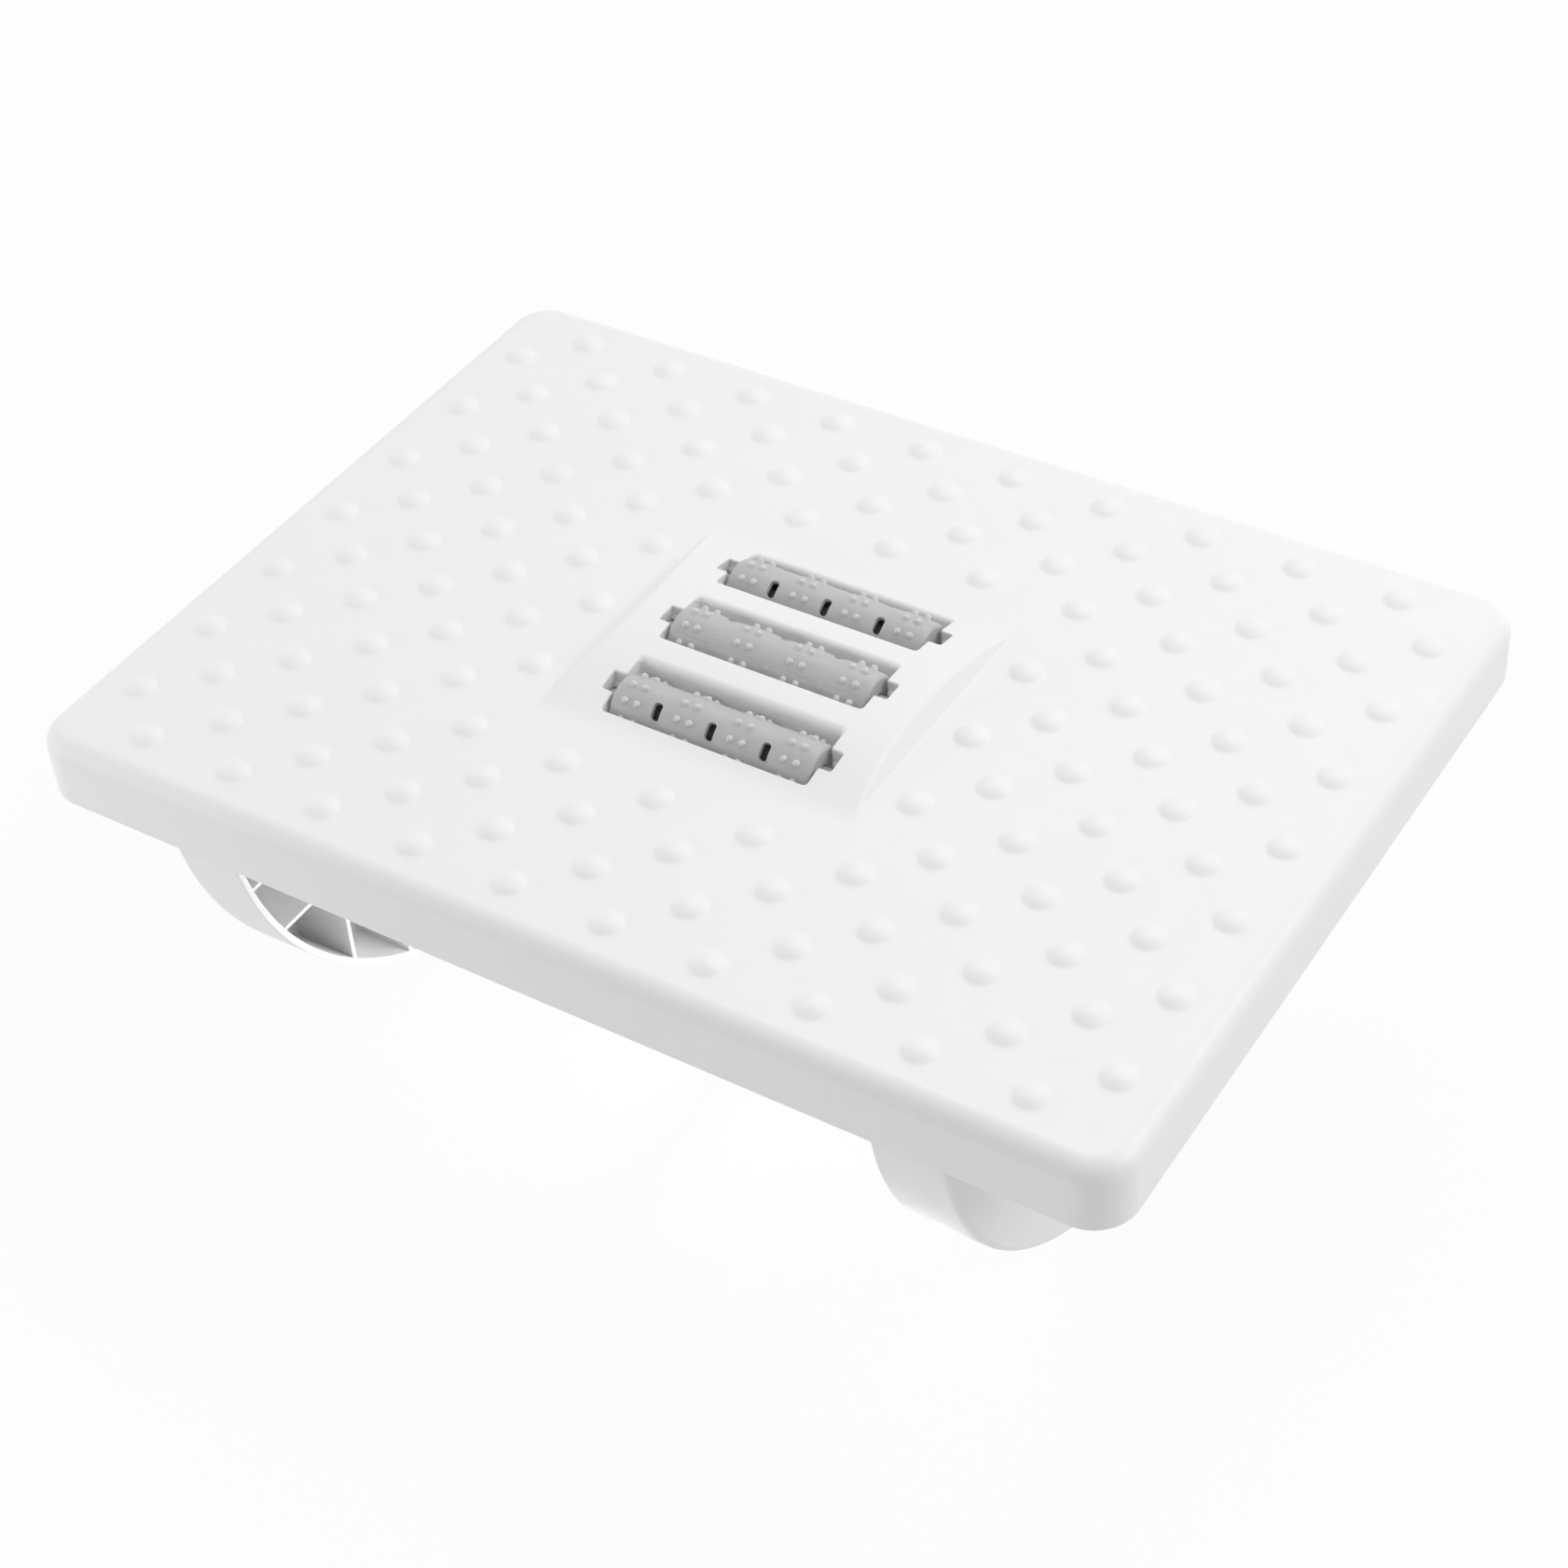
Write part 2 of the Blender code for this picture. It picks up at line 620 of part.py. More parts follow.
def make_rocker(name, side):
    """One half-disc rocker, open towards the footrest's middle."""
    inner, outer = side * ROCKER_INNER_X, side * ROCKER_OUTER_X
    body = prism(name, rocker_outline(0), inner, outer, along="X")
    round_rim(body, 0, outer, ROCKER_EDGE_RADIUS, ROCKER_EDGE_STEPS)
    mouth = inner - side * REACH
    web = side * ROCKER_WEB_X
    cut(body, prism("hollow", rocker_outline(ROCKER_WALL), mouth, web, along="X"))
    join(body, upright_ribs(side))
    join(body, level_ribs(side))
    places = [(side * SCREW_X, bay * BAY) for bay in SCREW_BAYS]
    high = ROCKER_TOP - WELD
    cup_radius = BOSS_RADIUS + GAP + CUP_WALL
    cups = [(x, y, CUP_BOTTOM, high) for x, y in places]
    join(body, posts("cups", cups, cup_radius, ROUND_SIDES))
    wells = [(x, y, CUP_SEAT, ROCKER_TOP + REACH) for x, y in places]
    cut(body, posts("wells", wells, BOSS_RADIUS + GAP, ROUND_SIDES))
    holes = [(x, y, CUP_BOTTOM - REACH, CUP_SEAT + REACH) for x, y in places]
    cut(body, posts("screw holes", holes, SHANK_RADIUS + GAP, SCREW_SIDES))
    drivers = []
    for x, y in places:
        high = rim_height(abs(y), ROCKER_WALL) + DRIVER_HOLE_RISE
        drivers.append((x, y, -REACH, high))
    cut(body, posts("driver holes", drivers, DRIVER_HOLE_RADIUS, ROUND_SIDES))
    dimple_z = rim_height(DIMPLE_Y, ROCKER_WALL) + DIMPLE_RISE
    ends = sorted((web - side * REACH, web + side * DIMPLE_DEPTH))
    dimples = [(*ends, y, dimple_z) for y in (-DIMPLE_Y, DIMPLE_Y)]
    cut(body, bars("dimples", dimples, DIMPLE_RADIUS, SCREW_SIDES))
    finish(body, WHITE_PLASTIC)
    return body


# The screws


def screw_mesh():
    """A pan-head screw, its origin at the top of its head and its shank up along +Z."""
    profile = [
        (0, -HEAD_HEIGHT),
        (HEAD_RADIUS - HEAD_EDGE, -HEAD_HEIGHT),
        (HEAD_RADIUS, HEAD_EDGE - HEAD_HEIGHT),
        (HEAD_RADIUS, 0),
        (SHANK_RADIUS, 0),
        (SHANK_RADIUS, SHANK_LENGTH - SHANK_TIP),
        (0, SHANK_LENGTH),
    ]
    mesh_data = bmesh.new()
    corners = [mesh_data.verts.new((radius, 0, z)) for radius, z in profile]
    line = [mesh_data.edges.new(pair) for pair in zip(corners, corners[1:])]
    bmesh.ops.spin(
        mesh_data,
        geom=corners + line,
        cent=(0, 0, 0),
        axis=(0, 0, 1),
        angle=2 * math.pi,
        steps=SCREW_SIDES,
        use_merge=True,
    )
    bmesh.ops.remove_doubles(mesh_data, verts=mesh_data.verts, dist=GAP / 100)
    body = keep("screw", mesh_data)
    long, short = RECESS_SPAN / 2, RECESS_WIDTH / 2
    cross = []
    for quarter in range(4):
        turn = Matrix.Rotation(quarter * math.pi / 2, 2)
        arm = ((long, -short), (long, short), (short, short))
        cross += [tuple(turn @ Vector(point)) for point in arm]
    top = RECESS_DEPTH - HEAD_HEIGHT
    cut(body, prism("recess", cross, -HEAD_HEIGHT - REACH, top))
    return body


def make_screws():
    """The screws of both rockers, driven up from below."""
    pattern = screw_mesh()
    for number, (x, y) in enumerate(screw_places()):
        side = "left" if x < 0 else "right"
        name = f"{side}_rocker_screw_{number % len(SCREW_BAYS) + 1}"
        screw = bpy.data.objects.new(name, pattern.data.copy())
        screw.location = (x, y, HEAD_TOP)
        bpy.context.scene.collection.objects.link(screw)
        finish(screw, SCREW_STEEL)
    bpy.data.objects.remove(pattern)


# The rollers


def shell_profile():
    """A roller's wall in section: distance along the axle and distance from it."""
    half = ROLLER_LENGTH / 2
    last = half - ROLLER_LIP
    barrel = [
        (half, ROLLER_WAIST_RADIUS - ROLLER_LIP),
        (last, ROLLER_WAIST_RADIUS),
        ((last + WINDOW_PITCH) / 2, ROLLER_CROWN_RADIUS),
        (WINDOW_PITCH, ROLLER_WAIST_RADIUS),
        (WINDOW_PITCH / 2, ROLLER_CROWN_RADIUS),
    ]
    outside = barrel + [(0, ROLLER_WAIST_RADIUS)] + [(-x, radius) for x, radius in barrel[::-1]]
    seat = AXLE_RADIUS + GAP
    inner = half - ROLLER_END_WALL
    inside = [
        (-half, seat),
        (-inner, seat),
        (-inner, ROLLER_BORE_RADIUS),
        (inner, ROLLER_BORE_RADIUS),
        (inner, seat),
        (half, seat),
    ]
    return outside + inside


def window_outline(x):
    """One window as seen along the radius, its long side running round the roller."""
    radius = WINDOW_WIDTH / 2
    reach = WINDOW_LENGTH / 2 - radius
    outline = arc((x, reach), radius, 0, math.pi, WINDOW_STEPS)
    outline += arc((x, -reach), radius, math.pi, 2 * math.pi, WINDOW_STEPS)
    return outline


def nubs():
    """The nubs of one half shell, in pairs along rows that are evenly spaced round it."""
    mesh_data = bmesh.new()
    foot = ROLLER_WAIST_RADIUS - WELD
    for row in range(NUB_ROWS):
        turn = Matrix.Rotation(math.pi * ((row + 0.5) / NUB_ROWS - 0.5), 4, "X")
        for share in NUB_PAIR_SHARES:
            for side in (-1, 1):
                x = share * NUB_PAIR_PITCH + side * NUB_SPACING / 2
                out = Matrix.Translation((x, 0, (foot + NUB_REACH) / 2))
                bmesh.ops.create_cone(
                    mesh_data,
                    cap_ends=True,
                    segments=NUB_SIDES,
                    radius1=NUB_FOOT_RADIUS,
                    radius2=NUB_TIP_RADIUS,
                    depth=NUB_REACH - foot,
                    matrix=turn @ out,
                )
    return keep("nubs", mesh_data)


def shell_pattern():
    """A half shell round the X axis, its middle towards +Z and its split just above Z = 0."""
    mesh_data = bmesh.new()
    corners = [mesh_data.verts.new((x, radius, 0)) for x, radius in shell_profile()]
    section = mesh_data.faces.new(corners)
    bmesh.ops.spin(
        mesh_data,
        geom=[section, *section.verts, *section.edges],
        cent=(0, 0, 0),
        axis=(1, 0, 0),
        angle=math.pi,
        steps=ROLLER_STEPS,
    )
    body = keep("shell", mesh_data)
    reach = ROLLER_LENGTH
    split = GAP / 2
    cut(body, boxes("split", [((-reach, -reach, -reach), (reach, reach, split))]))
    join(body, nubs())
    for x in (-WINDOW_PITCH, 0, WINDOW_PITCH):
        top = ROLLER_CROWN_RADIUS + REACH
        cut(body, prism("window", window_outline(x), ROLLER_BORE_RADIUS - REACH, top))
    return body


def make_rollers():
    """Three rollers, each with two equal half shells round an axle."""
    pattern = shell_pattern()
    axle_half = NOTCH_END - GAP
    for name, y, z, turn in ROLLERS:
        for letter, extra in (("a", 0), ("b", math.pi)):
            shell = bpy.data.objects.new(f"{name}_roller_shell_{letter}", pattern.data.copy())
            shell.location = (0, y, z)
            shell.rotation_euler = (turn + extra - math.pi / 2, 0, 0)
            bpy.context.scene.collection.objects.link(shell)
            finish(shell, GREY_PLASTIC)
        run = (-axle_half, axle_half, 0, 0)
        axle = bars(f"{name}_roller_axle", [run], AXLE_RADIUS, AXLE_SIDES)
        axle.location = (0, y, z)
        finish(axle, GREY_PLASTIC)
    bpy.data.objects.remove(pattern)


def main():
    clear_scene()
    make_deck()
    make_rocker("left_rocker", -1)
    make_rocker("right_rocker", 1)
    make_screws()
    make_rollers()


main()
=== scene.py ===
"""Looks of a rocking footrest: a moulded deck on two half-disc rockers, with three massage rollers.

Metres, +Z up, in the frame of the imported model. The origin is on the floor, below the middle of
the deck; X runs along the deck's long side and Y from the front to the back. Every sub-assembly
is a class that holds its sizes, works its surfaces out as whole arrays, and dresses them.
"""

import logging
import math
from dataclasses import dataclass, field
from enum import Enum

import bmesh
import bpy
import numpy as np
from mathutils import Matrix, Vector


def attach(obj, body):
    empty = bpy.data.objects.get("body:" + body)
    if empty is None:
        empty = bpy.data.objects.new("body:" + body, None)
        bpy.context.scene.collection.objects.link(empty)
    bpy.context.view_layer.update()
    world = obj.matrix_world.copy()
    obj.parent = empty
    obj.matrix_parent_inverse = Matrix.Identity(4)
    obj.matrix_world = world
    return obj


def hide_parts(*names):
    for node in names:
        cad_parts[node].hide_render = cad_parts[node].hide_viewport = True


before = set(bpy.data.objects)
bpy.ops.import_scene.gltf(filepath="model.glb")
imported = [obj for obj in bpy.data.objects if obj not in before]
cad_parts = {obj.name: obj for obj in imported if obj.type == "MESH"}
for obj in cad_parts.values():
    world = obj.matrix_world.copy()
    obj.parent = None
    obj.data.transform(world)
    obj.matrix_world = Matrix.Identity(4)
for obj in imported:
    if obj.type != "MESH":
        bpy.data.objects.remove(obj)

Tree = bpy.types.NodeTree
Socket = bpy.types.NodeSocket

LOG = logging.getLogger("footrest")
MERGE = 1e-6  # points nearer than this are one point
QUARTER = math.pi / 2
EASE_STEPS = 3
EASE_ABOVE = math.radians(40)  # edges are eased where their faces meet at more than this
NOISE_LOW, NOISE_HIGH = 0.3, 0.7  # nearly all of a noise lies between these
FULL_WHITE = (1, 1, 1, 1)

# Places that more than one piece keeps to
SCREW_X = 0.1339  # how far to the left and to the right the screws are
SCREW_PITCH = 0.0287  # from screw to screw, and a rocker's bay between two ribs
SCREW_BAYS = (-2, -1, 1, 2)  # the screws' Y over that pitch
AXLES = ((0.0355, 0.1466), (0.0, 0.1505), (-0.0355, 0.1466))  # Y and Z, from the back
ROLLER_TURNS = (121.0, 45.0, 131.5)  # in degrees, from the back


class Body(Enum):
    """What a piece moves with."""

    BASE = "base"
    BACK_ROLLER = "back_roller"
    MIDDLE_ROLLER = "middle_roller"
    FRONT_ROLLER = "front_roller"


class Slot(Enum):
    """The finish that a piece is repainted with."""

    WHITE_PLASTIC = "white_plastic"
    GREY_PLASTIC = "grey_plastic"
    SCREW_STEEL = "screw_steel"


class Side(Enum):
    """Which end of the footrest a rocker is under."""

    LEFT = -1
    RIGHT = 1


# Meshes from arrays


def quads(rows: int, columns: int, wrap_rows: bool, wrap_columns: bool) -> np.ndarray:
    """The four corner numbers of every cell of a grid of points.

    A cell's corners are (r, c), (r, c + 1), (r + 1, c + 1) and (r + 1, c). Point (r, c) has the
    number r * columns + c, and a wrapped index past the last one comes back to the first.

    Args:
        rows: how many rows of points there are.
        columns: how many points a row has.
        wrap_rows: whether the last row joins the first.
        wrap_columns: whether a row's last point joins its first.

    Returns:
        An array of (cell, corner).
    """
    row = np.arange(rows if wrap_rows else rows - 1)[:, None]
    column = np.arange(columns if wrap_columns else columns - 1)[None, :]
    row_after, column_after = (row + 1) % rows, (column + 1) % columns
    corners = (
        row * columns + column,
        row * columns + column_after,
        row_after * columns + column_after,
        row_after * columns + column,
    )
    return np.stack(np.broadcast_arrays(*corners), -1).reshape(-1, 4)


@dataclass
class Shape:
    """Closed surfaces gathered for one mesh."""

    points: list[np.ndarray] = field(default_factory=list)
    faces: list[list[int]] = field(default_factory=list)
    count: int = 0

    def add(self, points: np.ndarray, *groups: np.ndarray) -> None:
        """Add points and groups of faces.

        Args:
            points: an array whose last axis is xyz.
            groups: arrays of (face, corner), numbered from the first of these points.
        """
        flat = np.asarray(points, float).reshape(-1, 3)
        for group in groups:
            self.faces.extend((group + self.count).tolist())
        self.points.append(flat)
        self.count += len(flat)

    def sheet(self, grid: np.ndarray) -> None:
        """Add an open sheet, a grid of (row, column, xyz) whose edges meet other sheets' edges."""
        self.add(grid, quads(*grid.shape[:2], False, False))

    def loop(self, grid: np.ndarray) -> None:
        """Add a ring-shaped surface, a grid that wraps both ways."""
        self.add(grid, quads(*grid.shape[:2], True, True))

    def tubes(self, grids: np.ndarray) -> None:
        """Add tubes with flat ends, all of one layout.

        Args:
            grids: an array of (tube, ring, point on the ring, xyz).
        """
        count, rings, around = grids.shape[:3]
        starts = (np.arange(count) * rings * around)[:, None, None]
        one_ring = np.arange(around)
        ends = np.stack([one_ring, (rings - 1) * around + one_ring])[None] + starts
        sides = quads(rings, around, False, True)[None] + starts
        self.add(grids, sides.reshape(-1, 4), ends.reshape(-1, around))

    def tube(self, grid: np.ndarray) -> None:
        """Add one tube with flat ends, a grid of (ring, point on the ring, xyz)."""
        self.tubes(grid[None])

    def build(self, name: str) -> bpy.types.Object:
        """Make the mesh, join the points that meet and turn every face outwards.

        Args:
            name: the name of the object.

        Returns:
            The object, at the origin.
        """
        mesh = bpy.data.meshes.new(name)
        mesh.from_pydata(np.concatenate(self.points).tolist(), [], self.faces)
        shell = bmesh.new()
        shell.from_mesh(mesh)
        bmesh.ops.remove_doubles(shell, verts=shell.verts, dist=MERGE)
        bmesh.ops.recalc_face_normals(shell, faces=shell.faces)
        shell.to_mesh(mesh)
        shell.free()
        thing = bpy.data.objects.new(name, mesh)
        bpy.context.scene.collection.objects.link(thing)
        return thing


def apply_modifiers(thing: bpy.types.Object) -> None:
    """Work an object's modifiers into its mesh."""
    graph = bpy.context.evaluated_depsgraph_get()
    worked = bpy.data.meshes.new_from_object(thing.evaluated_get(graph))
    thing.modifiers.clear()
    thing.data = worked


def carve(thing: bpy.types.Object, tool: Shape) -> None:
    """Take a closed shape away from an object."""
    cutter = tool.build("cutter")
    modifier = thing.modifiers.new("carve", "BOOLEAN")
    modifier.operation = "DIFFERENCE"
    modifier.solver = "EXACT"
    modifier.object = cutter
    apply_modifiers(thing)
    bpy.data.objects.remove(cutter)


def ease_edges(thing: bpy.types.Object, width: float) -> None:
    """Round an object's sharp edges to a small width."""
    modifier = thing.modifiers.new("ease", "BEVEL")
    modifier.width = width
    modifier.segments = EASE_STEPS
    modifier.limit_method = "ANGLE"
    modifier.angle_limit = EASE_ABOVE
    apply_modifiers(thing)


# Surfaces as functions of two parameters


def xyz(x: object, y: object, z: object) -> np.ndarray:
    """Points from their X, Y and Z, which are numbers or arrays that broadcast together."""
    return np.stack(np.broadcast_arrays(x, y, z), -1).astype(float)


def mirrored(half: np.ndarray, sign: int = -1) -> np.ndarray:
    """Values from the middle outwards, with the other side's before them, times a sign."""
    return np.concatenate([sign * half[..., :0:-1], half], -1)


def quarter_turn(steps: int) -> np.ndarray:
    """Angles from zero to a right angle, both included."""
    return np.linspace(0, QUARTER, steps + 1)


def section(*runs: object) -> np.ndarray:
    """Runs of points, each one point or an array of them, one after the other."""
    return np.concatenate([np.atleast_2d(np.asarray(run, float)) for run in runs])


def bend(
    centre: tuple[float, float], radius: float, start: float, end: float, steps: int
) -> np.ndarray:
    """Points of an arc: centre + radius * (cos, sin) of evenly spaced angles.

    Args:
        centre: the arc's centre.
        radius: its radius.
        start: its first angle, in degrees.
        end: its last angle, in degrees.
        steps: into how many parts it is divided.

    Returns:
        An array of (point, 2).
    """
    turns = np.radians(np.linspace(start, end, steps + 1))
    return np.stack([centre[0] + radius * np.cos(turns), centre[1] + radius * np.sin(turns)], -1)


def circle(sides: int) -> np.ndarray:
    """The corners of a regular polygon whose corners are 1 from the origin."""
    return bend((0, 0), 1, 0, 360 - 360 / sides, sides - 1)


def soft_cap(distance: np.ndarray, half: float, rise: float, blend: float) -> np.ndarray:
    """The height of a round cap whose foot runs out softly.

    The bare cap is sqrt(radius^2 - distance^2) - radius + rise, and it is softened to
    (bare + sqrt(bare^2 + blend^2)) / 2.

    Args:
        distance: distances from the cap's middle.
        half: the distance at which the bare cap is at zero.
        rise: its height in the middle.
        blend: how soft the foot is, as a height.

    Returns:
        The heights.
    """
    radius = (half**2 + rise**2) / (2 * rise)
    bare = np.sqrt(radius**2 - np.square(distance)) - radius + rise
    return (bare + np.hypot(bare, blend)) / 2


def turned(profile: np.ndarray, sides: int) -> np.ndarray:
    """A profile of (radius, height) carried round the Z axis.

    The point at profile k and angle a is (radius_k cos a, radius_k sin a, height_k).

    Args:
        profile: an array of (point, 2).
        sides: into how many parts the turn is divided.

    Returns:
        A grid of (profile point, angle, xyz).
    """
    angle = np.arange(sides) * (2 * math.pi / sides)
    radius, height = profile[:, :1], profile[:, 1:]
    return xyz(radius * np.cos(angle), radius * np.sin(angle), height)


def prism(outline: np.ndarray, low: float, high: float) -> np.ndarray:
    """An outline in YZ drawn out along X, as two rings."""
    return xyz(np.array([[low], [high]]), outline[:, 0], outline[:, 1])


def upright(outline: np.ndarray, low: float, high: float) -> np.ndarray:
    """An outline in XY drawn up along Z, as two rings."""
    return xyz(outline[:, 0], outline[:, 1], np.array([[low], [high]]))


def blocks(x: tuple, y: tuple, z: tuple) -> np.ndarray:
    """Upright blocks, as tubes of two rings of four points.

    Args:
        x: their low and their high X, each a number or an array with one value a block.
        y: the same for Y.
        z: the same for Z.

    Returns:
        An array of (block, ring, point on the ring, xyz).
    """
    share = np.array([[(0, 0, top), (1, 0, top), (1, 1, top), (0, 1, top)] for top in (0, 1)])
    lows, highs = (xyz(*ends)[:, None, None, :] for ends in zip(x, y, z))
    return lows + share * (highs - lows)


def rounded(corners: np.ndarray, radii: np.ndarray, steps: int) -> tuple[np.ndarray, np.ndarray]:
    """An outline that runs anticlockwise, with its corners rounded.

    A corner's arc is centre + sign * radius * (cos, sin) of angles that go evenly from the
    direction square to the edge before it to that square to the edge after, where sign is +1 at
    an outer corner and -1 at an inner one.

    Args:
        corners: an array of (corner, 2).
        radii: the radius at each corner.
        steps: into how many parts each arc is divided.

    Returns:
        The points, and the direction that faces out of the outline at each.
    """
    before = corners - np.roll(corners, 1, 0)
    after = np.roll(corners, -1, 0) - corners
    before /= np.linalg.norm(before, axis=1, keepdims=True)
    after /= np.linalg.norm(after, axis=1, keepdims=True)
    cross = before[:, 0] * after[:, 1] - before[:, 1] * after[:, 0]
    turn = np.arctan2(cross, (before * after).sum(1))
    sign = np.sign(turn)
    out = np.stack([before[:, 1], -before[:, 0]], -1)
    reach = radii * np.tan(np.abs(turn) / 2)
    centre = corners - before * reach[:, None] - out * (sign * radii)[:, None]
    start = np.arctan2(out[:, 1], out[:, 0])
    angle = start[:, None] + turn[:, None] * np.linspace(0, 1, steps + 1)
    facing = np.stack([np.cos(angle), np.sin(angle)], -1)
    points = centre[:, None] + facing * (sign * radii)[:, None, None]
    return points.reshape(-1, 2), facing.reshape(-1, 2)


def divided(
    points: np.ndarray, facing: np.ndarray, spacing: float
) -> tuple[np.ndarray, np.ndarray]:
    """A closed outline with points added along its edges, so that none is longer than a spacing.

    Point k of an edge of n parts is start + k / n * (end - start).

    Args:
        points: an array of (point, 2).
        facing: the direction that faces out at each point.
        spacing: the longest part.

    Returns:
        The new points and directions.
    """
    step = np.roll(points, -1, 0) - points
    parts = np.maximum(1, np.ceil(np.linalg.norm(step, axis=1) / spacing)).astype(int)
    edge = np.repeat(np.arange(len(points)), parts)
    place = np.arange(parts.sum()) - np.repeat(np.cumsum(parts) - parts, parts)
    share = (place / parts[edge])[:, None]
    return points[edge] + share * step[edge], facing[edge]


# Finishes


def set_inputs(tree: Tree, node: bpy.types.Node, inputs: dict) -> None:
    """Give a node's named or numbered inputs their values, or other nodes' outputs."""
    for name, value in inputs.items():
        if isinstance(value, Socket):
            tree.links.new(value, node.inputs[name])
        else:
            node.inputs[name].default_value = value


def add_node(tree: Tree, kind: str, inputs: dict, **settings: object) -> bpy.types.Node:
    """Add a node to a tree.

    Args:
        tree: the node tree.
        kind: the node's type, without the words that all types start with.
        inputs: a value or another node's output for each named or numbered input.
        settings: the node's own properties.

    Returns:
        The node.
    """
    node = tree.nodes.new("ShaderNode" + kind)
    for name, value in settings.items():
        setattr(node, name, value)
    set_inputs(tree, node, inputs)
    return node


@dataclass(frozen=True)
class Finish:
    """How a surface looks, and the slot that it is repainted with."""

    name: str
    slot: Slot
    smoothest: float
    roughest: float

    def material(self) -> bpy.types.Material:
        """The material of this finish, made at the first call."""
        made = bpy.data.materials.get(self.name)
        if not made:
            made = bpy.data.materials.new(self.name)
            made.use_nodes = True
            tree = made.node_tree
            place = add_node(tree, "TexCoord", {}).outputs["Object"]
            set_inputs(tree, tree.nodes["Principled BSDF"], self.surface(tree, place))
        return made

    def surface(self, tree: Tree, place: Socket) -> dict:
        """The inputs of the surface's shader, whose noises start from a place."""
        raise NotImplementedError

    def noise(
        self, tree: Tree, place: Socket, size: float, detail: float, crispness: float
    ) -> Socket:
        """A noise whose features are about a size across, in metres."""
        inputs = {"Vector": place, "Scale": 1 / size, "Detail": detail, "Roughness": crispness}
        return add_node(tree, "TexNoise", inputs).outputs[0]

    def roughness(self, tree: Tree, noise: Socket) -> Socket:
        """A roughness that follows a noise from the smoothest to the roughest."""
        inputs = {
            "Value": noise,
            "From Min": NOISE_LOW,
            "From Max": NOISE_HIGH,
            "To Min": self.smoothest,
            "To Max": self.roughest,
        }
        return add_node(tree, "MapRange", inputs).outputs[0]


@dataclass(frozen=True)
class MouldedPlastic(Finish):
    """A satin injection-moulded plastic.

    Slow flow marks move its colour between two near shades, a finer noise moves its roughness,
    and a fine spark-eroded grain raises its surface.
    """

    shade: tuple[float, float, float]
    flow_shade: tuple[float, float, float]
    flow_size: float = 0.045
    flow_detail: float = 3
    haze_size: float = 0.009
    haze_detail: float = 4
    grain_size: float = 0.0007
    grain_detail: float = 2
    grain_depth: float = 0.000012
    grain_strength: float = 0.35
    crispness: float = 0.55

    def surface(self, tree: Tree, place: Socket) -> dict:
        """The inputs of the surface's shader, whose noises start from a place."""
        flow = self.noise(tree, place, self.flow_size, self.flow_detail, self.crispness)
        haze = self.noise(tree, place, self.haze_size, self.haze_detail, self.crispness)
        grain = self.noise(tree, place, self.grain_size, self.grain_detail, self.crispness)
        shades = {0: flow, 6: (*self.shade, 1), 7: (*self.flow_shade, 1)}
        raised = {"Height": grain, "Strength": self.grain_strength, "Distance": self.grain_depth}
        return {
            "Base Color": add_node(tree, "Mix", shades, data_type="RGBA").outputs[2],
            "Roughness": self.roughness(tree, haze),
            "Normal": add_node(tree, "Bump", raised).outputs[0],
        }


@dataclass(frozen=True)
class PlatedSteel(Finish):
    """Zinc-plated screw steel: a grey metal, brushed a little uneven by its tumbling."""

    shade: tuple[float, float, float]
    scuff_size: float = 0.0011
    scuff_detail: float = 4
    crispness: float = 0.5

    def surface(self, tree: Tree, place: Socket) -> dict:
        """The inputs of the surface's shader, whose noises start from a place."""
        scuffs = self.noise(tree, place, self.scuff_size, self.scuff_detail, self.crispness)
        roughness = self.roughness(tree, scuffs)
        return {"Base Color": (*self.shade, 1), "Metallic": 1, "Roughness": roughness}


WHITE = MouldedPlastic(
    "white plastic", Slot.WHITE_PLASTIC, 0.38, 0.46, (0.815, 0.815, 0.812), (0.795, 0.795, 0.792)
)
GREY = MouldedPlastic(
    "grey plastic", Slot.GREY_PLASTIC, 0.34, 0.44, (0.47, 0.47, 0.473), (0.445, 0.445, 0.448)
)
# The nubs' lighter grey is a painted highlight: it stands in for the light that their upper sides
# catch.
NUB_HIGHLIGHT_GREY = MouldedPlastic(
    "worn grey plastic", Slot.GREY_PLASTIC, 0.30, 0.40, (0.62, 0.62, 0.623), (0.59, 0.59, 0.593)
)
STEEL = PlatedSteel("screw steel", Slot.SCREW_STEEL, 0.25, 0.42, (0.62, 0.62, 0.60))


def dress(
    thing: bpy.types.Object,
    finish: Finish,
    body: Body,
    nodes: tuple[str, ...] = (),
    sharp_above: float = 35,
) -> bpy.types.Object:
    """Give a piece its finish and its shading, hang it on what it rides on, and hide the nodes that
    it stands for.

    Args:
        thing: the piece.
        finish: its finish.
        body: what it moves with.
        nodes: the nodes that it stands for.
        sharp_above: the angle between two faces, in degrees, above which their edge is crisp.

    Returns:
        The same piece.
    """
    thing.data.materials.clear()
    thing.data.materials.append(finish.material())
    thing.data.shade_smooth()
    thing.data.set_sharp_from_angle(angle=math.radians(sharp_above))
    even = thing.modifiers.new("even shading", "WEIGHTED_NORMAL")
    even.keep_sharp = True
    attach(thing, body.value)
    if nodes:
        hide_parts(*nodes)
    LOG.info("%s: %d faces, on %s", thing.name, len(thing.data.polygons), body.value)
    return thing


# The deck


